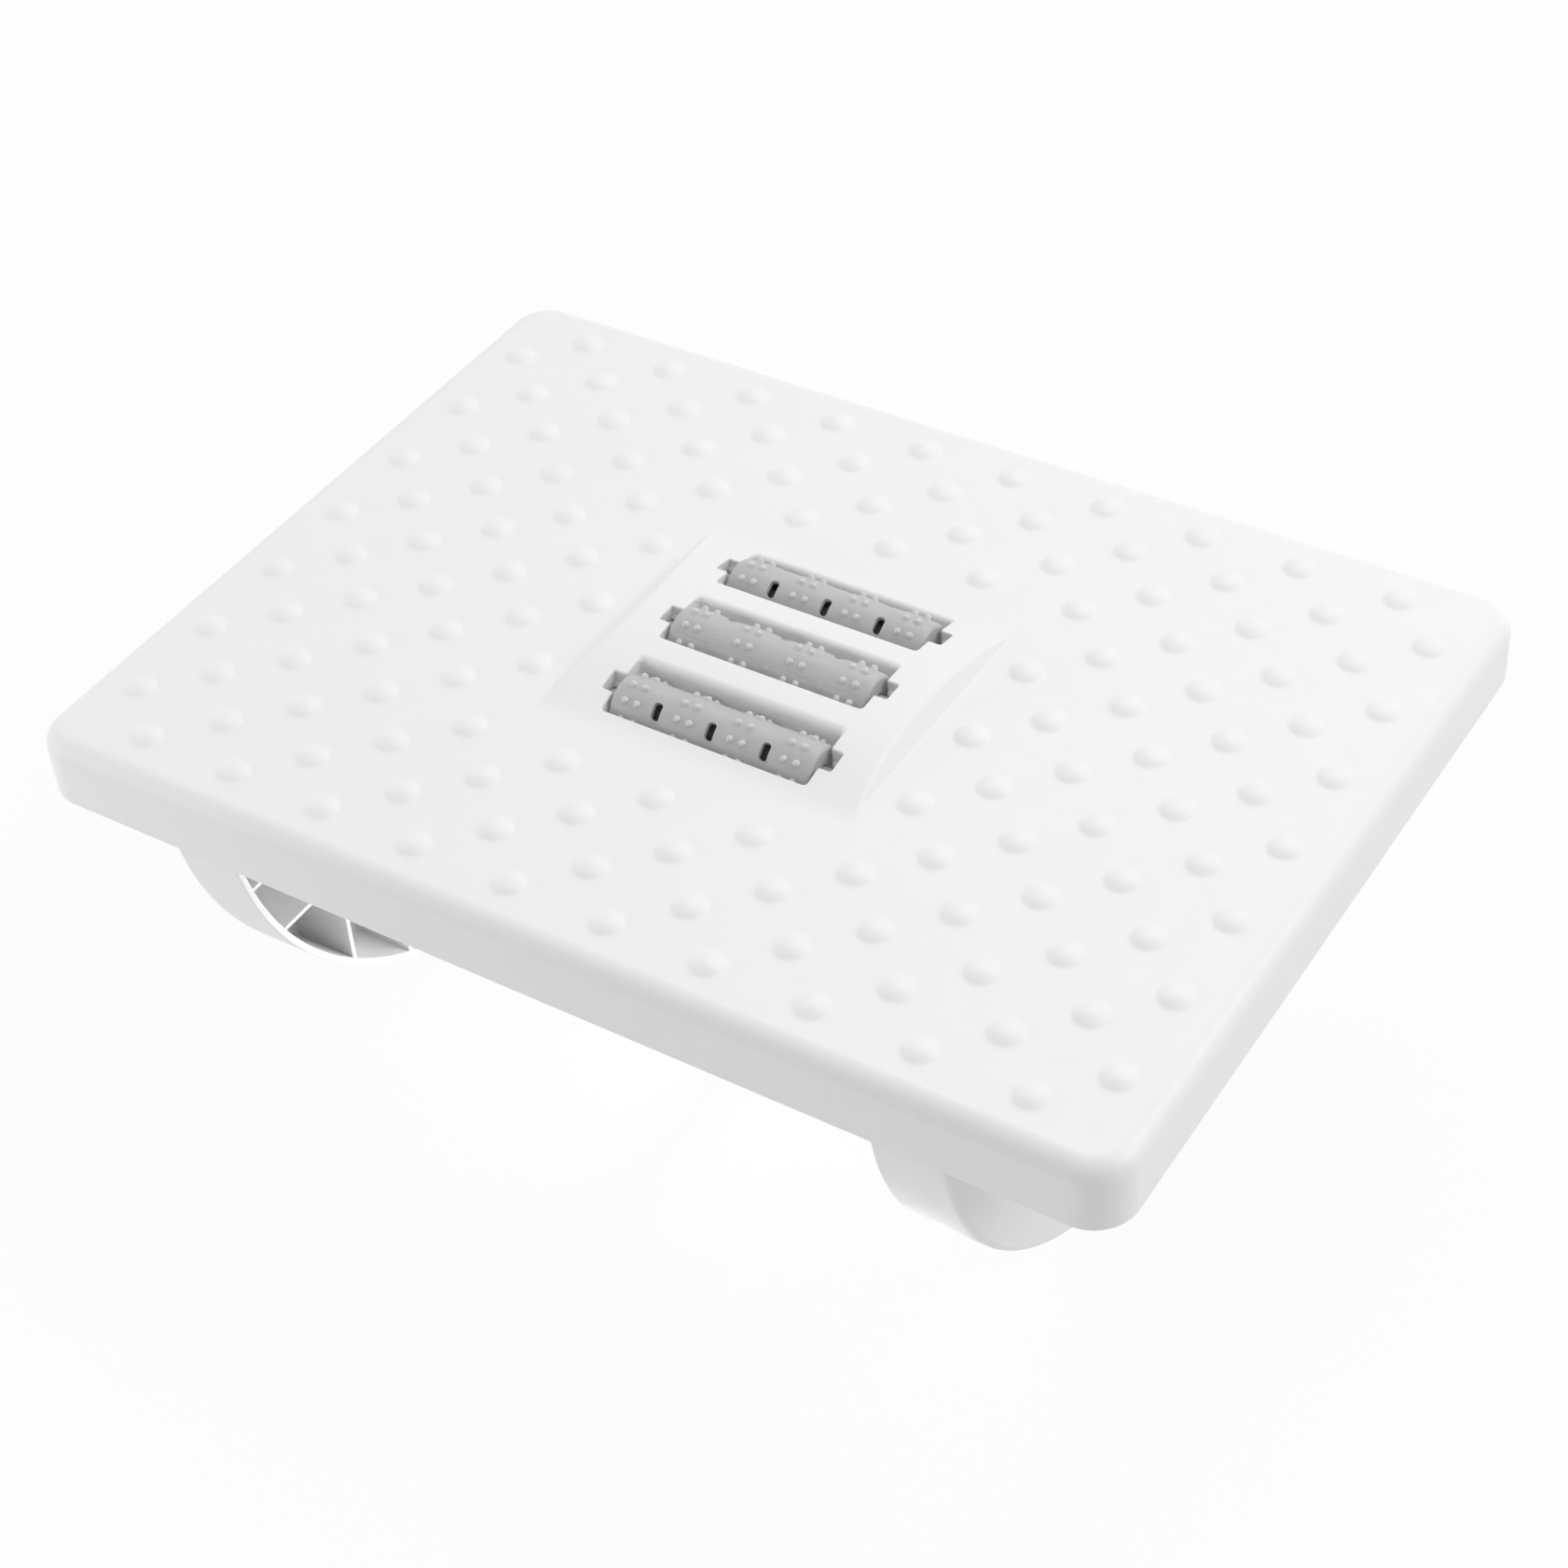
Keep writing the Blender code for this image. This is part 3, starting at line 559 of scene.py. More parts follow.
@dataclass
class ArchedPanel:
    """The raised panel over the rollers: an arch from front to back between two end walls."""

    length: float = 0.122
    depth: float = 0.104
    rise: float = 0.0075
    draft: float = 0.0055
    blend: float = 0.0012
    spread: float = 0.005
    plate: float = 0.0030
    shoulder: float = 0.0050
    foot: float = 0.0015
    fillet_share: float = 0.6
    steps: int = 8

    def reach(self) -> float:
        """How far from the middle line the arch's softened foot ends."""
        return self.depth / 2 + self.spread

    def height(self, y: np.ndarray) -> np.ndarray:
        """Height of the arch over the deck at a distance from its middle line.

        It is a soft cap's height, less what that gives at the end of the arch's spread.

        Args:
            y: distances from the middle line.

        Returns:
            The heights, zero past the spread.
        """
        half = self.depth / 2
        foot = soft_cap(self.reach(), half, self.rise, self.blend)
        return np.maximum(0, soft_cap(y, half, self.rise, self.blend) - foot)

    def end_wall(
        self, y: np.ndarray, half_length: float, drop: float
    ) -> tuple[np.ndarray, np.ndarray]:
        """The end wall in section, from its foot on the deck to its shoulder on the arch.

        The wall leans in by draft / rise. An arc of the foot radius turns through the wall's
        angle out of the deck, and one of the shoulder radius turns back onto the arch. Both
        radii shrink to nothing where the arch does.

        Args:
            y: distances from the middle line, one for each row.
            half_length: where the wall stands on the deck.
            drop: how far inside the panel's skin the wall is, which the foot's radius gains
                and the shoulder's loses.

        Returns:
            The X and the height of each point, as arrays of (row, point).
        """
        height = self.height(y)[:, None]
        lean = self.draft / self.rise
        angle = math.atan(1 / lean)
        foot = np.minimum(self.foot + drop, self.fillet_share * height)
        shoulder = np.minimum(self.shoulder - drop, self.fillet_share * height)
        turn = np.linspace(0, angle, self.steps)[None, :]
        half_tangent = math.tan(angle / 2)
        foot_x = half_length + foot * half_tangent - foot * np.sin(turn)
        foot_z = foot * (1 - np.cos(turn))
        back = turn[:, ::-1]
        shoulder_x = half_length - height * lean - shoulder * half_tangent + shoulder * np.sin(back)
        shoulder_z = height - shoulder * (1 - np.cos(back))
        x = np.concatenate([foot_x, shoulder_x], 1)
        z = np.concatenate([foot_z, shoulder_z], 1)
        return x, z


@dataclass
class Slots:
    """The three slots that the rollers turn in, each with a notch for the axle at both ends."""

    length: float = 0.080
    width: float = 0.0242
    corner_radius: float = 0.0015
    notch_end: float = 0.0448
    notch_width: float = 0.0080
    notch_radius: float = 0.0008
    arc_steps: int = 4
    front_lip: float = 0.0004
    back_lip: float = 0.0028
    notch_lip: float = 0.0007
    lip_steps: int = 9
    collar_sink: float = 0.00004  # the collar starts this far under the tray's upper face
    collar_bottom: float = 0.1405
    collar_draft: float = 0.0001  # its inner face leans away by this, down to its bottom
    collar_wall: float = 0.0004
    collar_ease: float = 0.0002
    spacing: float = 0.0015
    cut_below: float = 0.01  # the cutters start this far under the plate
    cut_above: float = 0.02

    def middles(self) -> np.ndarray:
        """The Y of the three slots, front to back."""
        return np.array([y for y, _ in AXLES[::-1]])

    def outline(self) -> tuple[np.ndarray, np.ndarray, np.ndarray]:
        """One slot's outline about its own middle.

        It is a rounded rectangle with a notch at each end. Round a corner of the slot the lip's
        radius goes from the notch's to the front's or the back's with the square of how far a
        point faces that way.

        Returns:
            The points, the direction that faces out of the slot at each, and the lip's radius.
        """
        end, side = self.length / 2, self.width / 2
        tip, half = self.notch_end, self.notch_width / 2
        quarter = np.array([(tip, half), (end, half), (end, side)])
        radii = np.array([self.notch_radius, self.notch_radius, self.corner_radius])
        across = quarter[::-1] * (-1, 1)
        under = quarter * (-1, -1)
        beside = quarter[::-1] * (1, -1)
        corners = np.concatenate([quarter, across, under, beside])
        all_radii = np.concatenate([radii, radii[::-1]] * 2)
        points, facing = rounded(corners, all_radii, self.arc_steps)
        points, facing = divided(points, facing, self.spacing)
        share = np.where(np.abs(points[:, 0]) < end + MERGE, facing[:, 1] ** 2, 0)
        across = np.where(facing[:, 1] > 0, self.back_lip, self.front_lip)
        return points, facing, self.notch_lip + (across - self.notch_lip) * share


@dataclass
class Cradles:
    """The blocks below the notches, with a groove and a snap neck for each axle."""

    start: float = 0.041
    end: float = 0.0466
    notch_end: float = 0.0448
    lap: float = 0.00001  # each far wall starts this far inside its notched block
    bottom: float = 0.1393
    plate_lap: float = 0.0008  # the blocks go this far up into the plate
    top_steps: int = 12
    plain_steps: int = 40
    edge_ease: float = 0.0002
    groove_radius: float = 0.0033
    groove_steps: int = 24
    neck: float = 0.0026
    neck_rise: float = 0.0026
    mouth: float = 0.0031
    lip_rise: float = 0.0036
    notch: float = 0.0040

    def groove(self, y: float, z: float, top: float) -> np.ndarray:
        """One groove in section, from the top of its back wall round under the axle to its front.

        The round part is the axle + radius * (cos, sin), between the angles at which the circle
        is as wide as the neck.

        Args:
            y: the axle's Y.
            z: the axle's height.
            top: the height at which the notch's walls end.

        Returns:
            An array of (point, 2).
        """
        meet = math.degrees(math.acos(self.neck / self.groove_radius))
        half = section(
            (y + self.notch, top),
            (y + self.notch, z + self.lip_rise),
            (y + self.mouth, z + self.lip_rise),
            (y + self.neck, z + self.neck_rise),
        )
        round_part = bend((y, z), self.groove_radius, meet, -180 - meet, self.groove_steps)
        return section(half, round_part, half[::-1] * (-1, 1) + (2 * y, 0))

    def upper_edge(
        self, panel: ArchedPanel, deck_top: float, start: float, end: float, steps: int
    ) -> np.ndarray:
        """A block's top in section, which follows the plate's lower face from a lap inside it.

        Args:
            panel: the arched panel.
            deck_top: the height of the deck's flat part.
            start: the Y of the first point.
            end: the Y of the last one.
            steps: how many points there are.

        Returns:
            An array of (point, yz).
        """
        y = np.linspace(start, end, steps)
        return np.stack([y, deck_top - panel.plate + self.plate_lap + panel.height(y)], -1)

    def outline(self, panel: ArchedPanel, deck_top: float) -> np.ndarray:
        """The notched block in section, under the arched panel's plate."""
        reach = panel.reach()
        runs = [section((-reach, self.bottom), (reach, self.bottom))]
        back = reach
        for y, z in AXLES:
            edge = self.upper_edge(panel, deck_top, back, y + self.notch, self.top_steps)
            runs += [edge[:-1], self.groove(y, z, float(edge[-1, 1]))]
            back = y - self.notch
        runs.append(self.upper_edge(panel, deck_top, back, -reach, self.top_steps)[1:])
        return section(*runs)

    def shape(self, panel: ArchedPanel, deck_top: float) -> Shape:
        """The notched blocks and the walls that close their far ends."""
        shape = Shape()
        notched = self.outline(panel, deck_top)
        reach = panel.reach()
        edge = self.upper_edge(panel, deck_top, reach, -reach, self.plain_steps)
        plain = section((-reach, self.bottom), (reach, self.bottom), edge)
        for side in Side:
            ends = (self.start, self.notch_end, self.notch_end - self.lap, self.end)
            near, middle, wall, far = (side.value * end for end in ends)
            shape.tube(prism(notched, near, middle))
            shape.tube(prism(plain, wall, far))
        return shape


@dataclass
class Deck:
    """The deck: a skirted tray with an arched panel, domes, slots, and ribs and bosses below."""

    length: float = 0.410
    depth: float = 0.298
    top: float = 0.1505
    skirt_height: float = 0.0255
    skirt_wall: float = 0.0026
    plate: float = 0.0030
    plan_radius: float = 0.0153
    corner_steps: int = 12
    top_edge_radius: float = 0.0073
    lower_edge_radius: float = 0.0008
    inner_edge_radius: float = 0.0043
    lip_radius: float = 0.0005
    column_step: float = 0.006
    inside_even: float = 0.0481  # inside the panel, lines across are even as far as this
    inside_last: float = 0.0505  # and the last one is here
    outside_first: float = 0.066
    column_least: float = 0.002  # the least gap before the last line outside
    row_step: float = 0.0015
    edge_rows: int = 14  # lines from the end of the arch's foot to the corners' start
    dome_pitch: float = 0.0186
    dome_radius: float = 0.00575
    dome_height: float = 0.0016
    dome_blend: float = 0.0004
    dome_reach: float = 0.0080
    dome_rings: tuple[float, ...] = (0, 0.15, 0.3, 0.45, 0.56, 0.65, 0.72, 0.79, 0.86, 0.93, 1.0)
    dome_sides: int = 20
    dome_lift: float = 0.00001
    dome_sink: float = 0.0003
    dome_columns: int = 10
    dome_rows: int = 16
    dome_margin: float = 0.008
    rib_wall: float = 0.0018
    rib_lap: float = 0.0003
    edge_ease: float = 0.0003
    long_rib_height: float = 0.0100
    cross_rib_height: float = 0.0112
    locator_height: float = 0.0080
    locator_inner: float = 0.1203
    locator_outer: float = 0.1500
    long_ribs: tuple[float, ...] = (-0.105, -0.062, 0.062, 0.105)
    cross_ribs: tuple[float, ...] = (-0.09275, -0.064, 0.064, 0.09275)
    end_ribs: tuple[float, ...] = (-0.105, -0.062, 0.0, 0.062, 0.105)
    boss_radius: float = 0.0040
    boss_hole: float = 0.00205
    boss_length: float = 0.0085
    boss_lap: float = 0.001
    boss_sides: int = 32
    panel: ArchedPanel = field(default_factory=ArchedPanel)
    slots: Slots = field(default_factory=Slots)
    cradles: Cradles = field(default_factory=Cradles)

    def bottom(self) -> float:
        """The height of the skirt's lower edge."""
        return self.top - self.skirt_height

    def underside(self) -> float:
        """The height of the plate's lower face."""
        return self.top - self.plate

    def columns(self) -> tuple[np.ndarray, np.ndarray]:
        """The X of the lines that divide the tray's right half.

        Returns:
            Those inside the panel's end wall, from the middle, and those outside it.
        """
        half = self.length / 2 - self.plan_radius
        inside = np.append(np.arange(0, self.inside_even, self.column_step), self.inside_last)
        evenly = np.arange(self.outside_first, half - self.column_least, self.column_step)
        return inside, np.append(evenly, half)

    def stations(self) -> tuple[np.ndarray, np.ndarray]:
        """The X and Y of the lines that divide the tray, as far as where its corners start."""
        inside, outside = self.columns()
        x = np.concatenate([inside, [self.panel.length / 2], outside])
        last = self.panel.reach()
        edge = np.linspace(last, self.depth / 2 - self.plan_radius, self.edge_rows)
        y = np.concatenate([np.arange(0, last, self.row_step), edge])
        return mirrored(x), mirrored(y)

    def face(self, drop: float) -> np.ndarray:
        """One face of the plate with its arched panel, as a grid.

        Its height is the flat part's, plus the arch's height between the end walls, whose
        points stand in for the station at the half length.

        Args:
            drop: how far below the upper face it lies.

        Returns:
            A grid of (y, x, xyz).
        """
        inside, outside = self.columns()
        _, y = self.stations()
        rows = np.ones((len(y), 1))
        wall_x, wall_z = self.panel.end_wall(y, self.panel.length / 2 - drop, drop)
        arch = self.panel.height(y)[:, None]
        wall_x = np.where(arch > 0, wall_x[:, ::-1], self.panel.length / 2)
        half_x = np.concatenate([rows * inside, wall_x, rows * outside], 1)
        half_z = np.concatenate([arch + 0 * inside, wall_z[:, ::-1], 0 * rows * outside], 1)
        return xyz(mirrored(half_x), y[:, None], self.top - drop + mirrored(half_z, 1))

    def skirt(self) -> np.ndarray:
        """The skirt, from the edge of the upper face round to the edge of the lower one.

        A profile of (inset, height) is carried round the plan. The point at profile k and
        station j is centre_j + (plan radius - inset_k) * facing_j, where the centres run round
        the rectangle on which the corners' middles lie.

        Returns:
            A grid of (profile point, station, xyz).
        """
        x, y = self.stations()
        half_x, half_y = x[-1], y[-1]
        turn = quarter_turn(self.corner_steps)[1:-1]
        centres, facing = [], []
        runs = (
            (half_x + 0 * y, y, (half_x, half_y)),
            (x[::-1], half_y + 0 * x, (-half_x, half_y)),
            (-half_x + 0 * y, y[::-1], (-half_x, -half_y)),
            (x, -half_y + 0 * x, (half_x, -half_y)),
        )
        for quarter, (run_x, run_y, corner) in enumerate(runs):
            start = quarter * QUARTER
            centres += [np.stack([run_x, run_y], -1), np.tile(corner, (len(turn), 1))]
            angles = np.concatenate([np.full(len(run_x), start), start + turn])
            facing.append(np.stack([np.cos(angles), np.sin(angles)], -1))
        centre, out = np.concatenate(centres), np.concatenate(facing)
        top_r, low_r, in_r = self.top_edge_radius, self.lower_edge_radius, self.inner_edge_radius
        lip, wall, bottom, under = self.lip_radius, self.skirt_wall, self.bottom(), self.underside()
        profile = section(
            (self.plan_radius, self.top),
            bend((top_r, self.top - top_r), top_r, 90, 180, steps=12),
            bend((low_r, bottom + low_r), low_r, 180, 270, steps=4),
            bend((wall - lip, bottom + lip), lip, 270, 360, steps=3),
            bend((wall + in_r, under - in_r), in_r, 180, 90, steps=6),
            (self.plan_radius, under),
        )
        plan = centre + (self.plan_radius - profile[:, :1, None]) * out
        return xyz(plan[..., 0], plan[..., 1], profile[:, 1:])

    def slot_cutters(self) -> Shape:
        """What the slots take out of the tray, out to where their lips start."""
        points, facing, lip = self.slots.outline()
        opened = points + lip[:, None] * facing
        low, high = self.underside() - self.slots.cut_below, self.top + self.slots.cut_above
        tool = Shape()
        for middle in self.slots.middles():
            tool.tube(upright(opened + (0, middle), low, high))
        return tool

    def make_tray(self) -> None:
        """The tray's skin: both faces and the skirt, with the slots cut through."""
        shape = Shape()
        shape.sheet(self.face(0.0))
        skirt = self.skirt()
        shape.add(skirt, quads(*skirt.shape[:2], False, True))
        shape.sheet(self.face(self.plate))
        tray = shape.build("deck_tray")
        carve(tray, self.slot_cutters())
        dress(tray, WHITE, Body.BASE, ("deck",), sharp_above=28)

    def make_slot_collars(self) -> None:
        """The slots' rounded lips and the walls below them.

        A closed profile of (offset from the outline, drop) is carried round each slot. Its
        upper points lie below the tray's face at their own place, and its lower ones at one
        height.
        """
        slots = self.slots
        points, facing, lip = slots.outline()
        turn = quarter_turn(slots.lip_steps)[:, None]
        outer = lip + slots.collar_wall
        low_offsets = [0 * lip + slots.collar_draft, outer - slots.collar_ease, outer]
        offset = np.concatenate([[outer], lip * (1 - np.sin(turn)), low_offsets])
        drop = np.concatenate([[0 * lip + slots.collar_sink], lip * (1 - np.cos(turn))])
        low = slots.collar_bottom + np.array([0, 0, slots.collar_ease])[:, None] + 0 * lip
        shape = Shape()
        for middle in slots.middles():
            plan = points + (0, middle) + offset[..., None] * facing
            face = self.top + self.panel.height(plan[: len(drop), :, 1])
            shape.loop(xyz(plan[..., 0], plan[..., 1], np.concatenate([face - drop, low])))
        dress(shape.build("slot_collars"), WHITE, Body.BASE)

    def dome_places(self) -> np.ndarray:
        """Where the domes stand: staggered columns, with none on or against the arched panel."""
        columns, rows = (
            np.arange(-count, count + 1) for count in (self.dome_columns, self.dome_rows)
        )
        column, row = np.meshgrid(columns, rows)
        x = column * self.dome_pitch
        y = self.dome_pitch * (column % 2 + 2 * row)
        inside = np.abs(y) + self.dome_radius + self.dome_margin < self.depth / 2
        clear_x = np.abs(x) >= self.panel.length / 2
        clear = clear_x | (np.abs(y) >= self.panel.depth / 2 + self.dome_radius)
        kept = inside & clear
        return np.stack([x[kept], y[kept]], -1)

    def make_domes(self) -> None:
        """Low domes that run out softly over the deck.

        A dome is a soft cap, less what that gives where the dome ends. It is stretched so that
        its middle is at the dome's height, then lifted a little off the deck.
        """
        height, radius = self.dome_height, self.dome_reach * np.array(self.dome_rings)
        soft = soft_cap(radius, self.dome_radius, height, self.dome_blend)
        soft = (soft - soft[-1]) * height / (soft[0] - soft[-1]) + self.dome_lift
        foot = ((self.dome_reach, -self.dome_sink), (0, -self.dome_sink))
        dome = turned(section(np.stack([radius, soft], -1), *foot), self.dome_sides)
        places = self.dome_places()
        lift = xyz(places[:, 0], places[:, 1], self.top)
        shape = Shape()
        shape.tubes(dome[None] + lift[:, None, None, :])
        dress(shape.build("deck_domes"), WHITE, Body.BASE)

    def make_ribs(self) -> None:
        """The ribs under the plate, and the pairs that hold a rocker between them."""
        half, under, lap = self.rib_wall / 2, self.underside(), self.rib_lap
        high = under + lap
        wall_y = self.depth / 2 - self.skirt_wall + lap
        wall_x = self.length / 2 - self.skirt_wall + lap
        low, locator_low = under - self.long_rib_height, under - self.locator_height
        inner, outer = self.locator_inner, self.locator_outer
        locators = np.array([-outer, -inner, inner, outer])
        cross, long, ends = map(np.array, (self.cross_ribs, self.long_ribs, self.end_ribs))
        shape = Shape()
        for x, bottom in ((locators, locator_low), (cross, under - self.cross_rib_height)):
            shape.tubes(blocks((x - half, x + half), (-wall_y, wall_y), (bottom, high)))
        runs = (((-inner, inner), long), ((-wall_x, -outer), ends), ((outer, wall_x), ends))
        for x_ends, y in runs:
            shape.tubes(blocks(x_ends, (y - half, y + half), (low, high)))
        ribs = shape.build("deck_ribs")
        ease_edges(ribs, self.edge_ease)
        dress(ribs, WHITE, Body.BASE)

    def make_bosses(self) -> None:
        """Hollow bosses that the rockers' screws go up into."""
        low, high = self.underside() - self.boss_length, self.underside() + self.boss_lap
        hole, outer, ease = self.boss_hole, self.boss_radius, self.edge_ease
        profile = section(
            (hole, low + ease),
            (hole + ease, low),
            (outer - ease, low),
            (outer, low + ease),
            (outer, high),
            (hole, high),
        )
        side, bay = np.meshgrid([side.value for side in Side], SCREW_BAYS)
        shape = Shape()
        for place in xyz(side.ravel() * SCREW_X, bay.ravel() * SCREW_PITCH, 0):
            shape.loop(turned(profile, self.boss_sides) + place)
        dress(shape.build("deck_bosses"), WHITE, Body.BASE)

    def make_cradles(self) -> None:
        """The cradles that the axles snap into."""
        blocks_below = self.cradles.shape(self.panel, self.top).build("axle_cradles")
        ease_edges(blocks_below, self.cradles.edge_ease)
        dress(blocks_below, WHITE, Body.BASE)

    def make(self) -> None:
        """Every piece of the deck."""
        self.make_tray()
        self.make_slot_collars()
        self.make_domes()
        self.make_ribs()
        self.make_bosses()
        self.make_cradles()


# The rockers and their screws


@dataclass
class Rocker:
    """A half-disc rocker, open towards the footrest's middle, with ribs and screw cups inside."""

    side: Side
    inner_x: float = 0.1215
    outer_x: float = 0.1488
    radius: float = 0.1485
    wall: float = 0.0025
    edge_radius: float = 0.0030
    root_radius: float = 0.0010
    mouth_radius: float = 0.0004
    top: float = 0.1472
    half_depth: float = 0.1461
    corner_radius: float = 0.0040
    rim_steps: int = 112
    corner_steps: int = 6
    lap: float = 0.001  # ribs, cups and the wells' cutters go this far past a wall's face
    cut_past: float = 0.002  # cutters go this far past the faces that they open
    cut_sides: int = 32
    rib_wall: float = 0.0018
    rib_setback: float = 0.00005
    rib_ease: float = 0.0003
    upright_shares: tuple[float, ...] = (0.5, 1.5, 2.5, 3.5)
    shelf_heights: tuple[float, ...] = (0.1093, 0.0823)
    boss_well: float = 0.0043
    cup_radius: float = 0.0065
    cup_edge: float = 0.0005
    cup_sides: int = 36
    cup_seat: float = 0.1387
    cup_bottom: float = 0.1360
    shank_hole: float = 0.00205
    driver_hole: float = 0.0045
    driver_rise: float = 0.0060
    dimple_radius: float = 0.00225
    dimple_depth: float = 0.0012
    dimple_y: float = 0.085
    dimple_z: float = 0.0370

    def name(self) -> str:
        """The name of the rocker's node."""
        return f"{self.side.name.lower()}_rocker"

    def outline(self, inset: float) -> np.ndarray:
        """The rocker in section, every wall moved in by an inset.

        The rolling edge is (0, radius) + (radius - inset) * (cos, sin), as far as the upright
        ends. Two arcs round the upper corners.

        Args:
            inset: how far in from the outside.

        Returns:
            An array of (point, yz), with the same number of points for every inset.
        """
        radius, half, top = self.radius - inset, self.half_depth - inset, self.top - inset
        corner = max(0.0, self.corner_radius - inset)
        swing = math.degrees(math.asin(half / radius))
        return section(
            bend((0, self.radius), radius, -90 - swing, -90 + swing, self.rim_steps),
            bend((half - corner, top - corner), corner, 0, 90, self.corner_steps),
            bend((corner - half, top - corner), corner, 90, 180, self.corner_steps),
        )

    def rim_height(self, y: np.ndarray, inset: float) -> np.ndarray:
        """The height of the rim over the floor: radius - sqrt((radius - inset)^2 - y^2)."""
        return self.radius - np.sqrt((self.radius - inset) ** 2 - np.square(y))

    def rim_reach(self, z: np.ndarray, inset: float) -> np.ndarray:
        """How far out the rim is: sqrt((radius - inset)^2 - (radius - z)^2)."""
        return np.sqrt((self.radius - inset) ** 2 - np.square(self.radius - z))

    def screw_places(self) -> np.ndarray:
        """The X and Y of the screws, front to back."""
        return np.array([(self.side.value * SCREW_X, bay * SCREW_PITCH) for bay in SCREW_BAYS])

    def wall_profile(self) -> np.ndarray:
        """The wall and the web in section, as (inset, X), from the web's inside to its outside."""
        wall, inner, outer = self.wall, self.inner_x, self.outer_x
        root, mouth, edge = self.root_radius, self.mouth_radius, self.edge_radius
        return section(
            bend((wall + root, outer - wall - root), root, 90, 180, steps=4),
            bend((wall - mouth, inner + mouth), mouth, 0, -90, steps=3),
            bend((mouth, inner + mouth), mouth, -90, -180, steps=3),
            bend((edge, outer - edge), edge, 180, 90, steps=9),
        )

    def make_shell(self) -> None:
        """The rocker's shell: its wall's profile lofted between insets of the one outline."""
        side, past = self.side.value, self.cut_past
        rings = [xyz(side * x, *self.outline(inset).T) for inset, x in self.wall_profile()]
        shape = Shape()
        shape.tube(np.stack(rings))
        shell = shape.build(f"{self.name()}_shell")
        tool = Shape()
        ring = circle(self.cut_sides)
        for place in self.screw_places():
            rim = float(self.rim_height(abs(place[1]), self.wall))
            holes = (
                (self.driver_hole, -past, rim + self.driver_rise),
                (self.boss_well, self.top - self.wall - self.lap, self.top + past),
            )
            for radius, low, high in holes:
                tool.tube(upright(ring * radius + place, low, high))
        web = self.outer_x - self.wall
        for y in (-self.dimple_y, self.dimple_y):
            dimple = ring * self.dimple_radius + (y, self.dimple_z)
            tool.tube(prism(dimple, side * (web - past), side * (web + self.dimple_depth)))
        carve(shell, tool)
        dress(shell, WHITE, Body.BASE, (self.name(),), sharp_above=30)

    def make_ribs(self) -> None:
        """The upright ribs between the rim and the top wall, and the level ones in the end bays."""
        half = self.rib_wall / 2
        ends = (self.inner_x + self.rib_setback, self.outer_x - self.wall + self.lap)
        near, far = sorted(self.side.value * end for end in ends)
        reach = np.array(self.upright_shares) * SCREW_PITCH
        bottom = (self.rim_height(reach + half, 0) + self.rim_height(reach - half, self.wall)) / 2
        y = np.concatenate([-reach, reach])
        low = np.concatenate([bottom, bottom])
        shape = Shape()
        shape.tubes(blocks((near, far), (y - half, y + half), (low, self.top - self.lap)))
        z = np.array(self.shelf_heights)
        start = reach[-1]
        end = (self.rim_reach(z - half, 0) + self.rim_reach(z + half, self.wall)) / 2
        for y_ends in ((-end, -start), (start, end)):
            shape.tubes(blocks((near, far), y_ends, (z - half, z + half)))
        ribs = shape.build(f"{self.name()}_ribs")
        ease_edges(ribs, self.rib_ease)
        dress(ribs, WHITE, Body.BASE)

    def make_cups(self) -> None:
        """The cups under the top wall that hold the bosses and seat the screw heads."""
        out, low, seat, edge = self.cup_radius, self.cup_bottom, self.cup_seat, self.cup_edge
        hole, well, high = self.shank_hole, self.boss_well, self.top - self.lap
        profile = section(
            (hole, low),
            (out - edge, low),
            (out, low + edge),
            (out, high),
            (well, high),
            (well, seat),
            (hole, seat),
        )
        shape = Shape()
        for x, y in self.screw_places():
            shape.loop(turned(profile, self.cup_sides) + (x, y, 0))
        dress(shape.build(f"{self.name()}_cups"), WHITE, Body.BASE)

    def make(self) -> None:
        """Every piece of the rocker."""
        self.make_shell()
        self.make_ribs()
        self.make_cups()


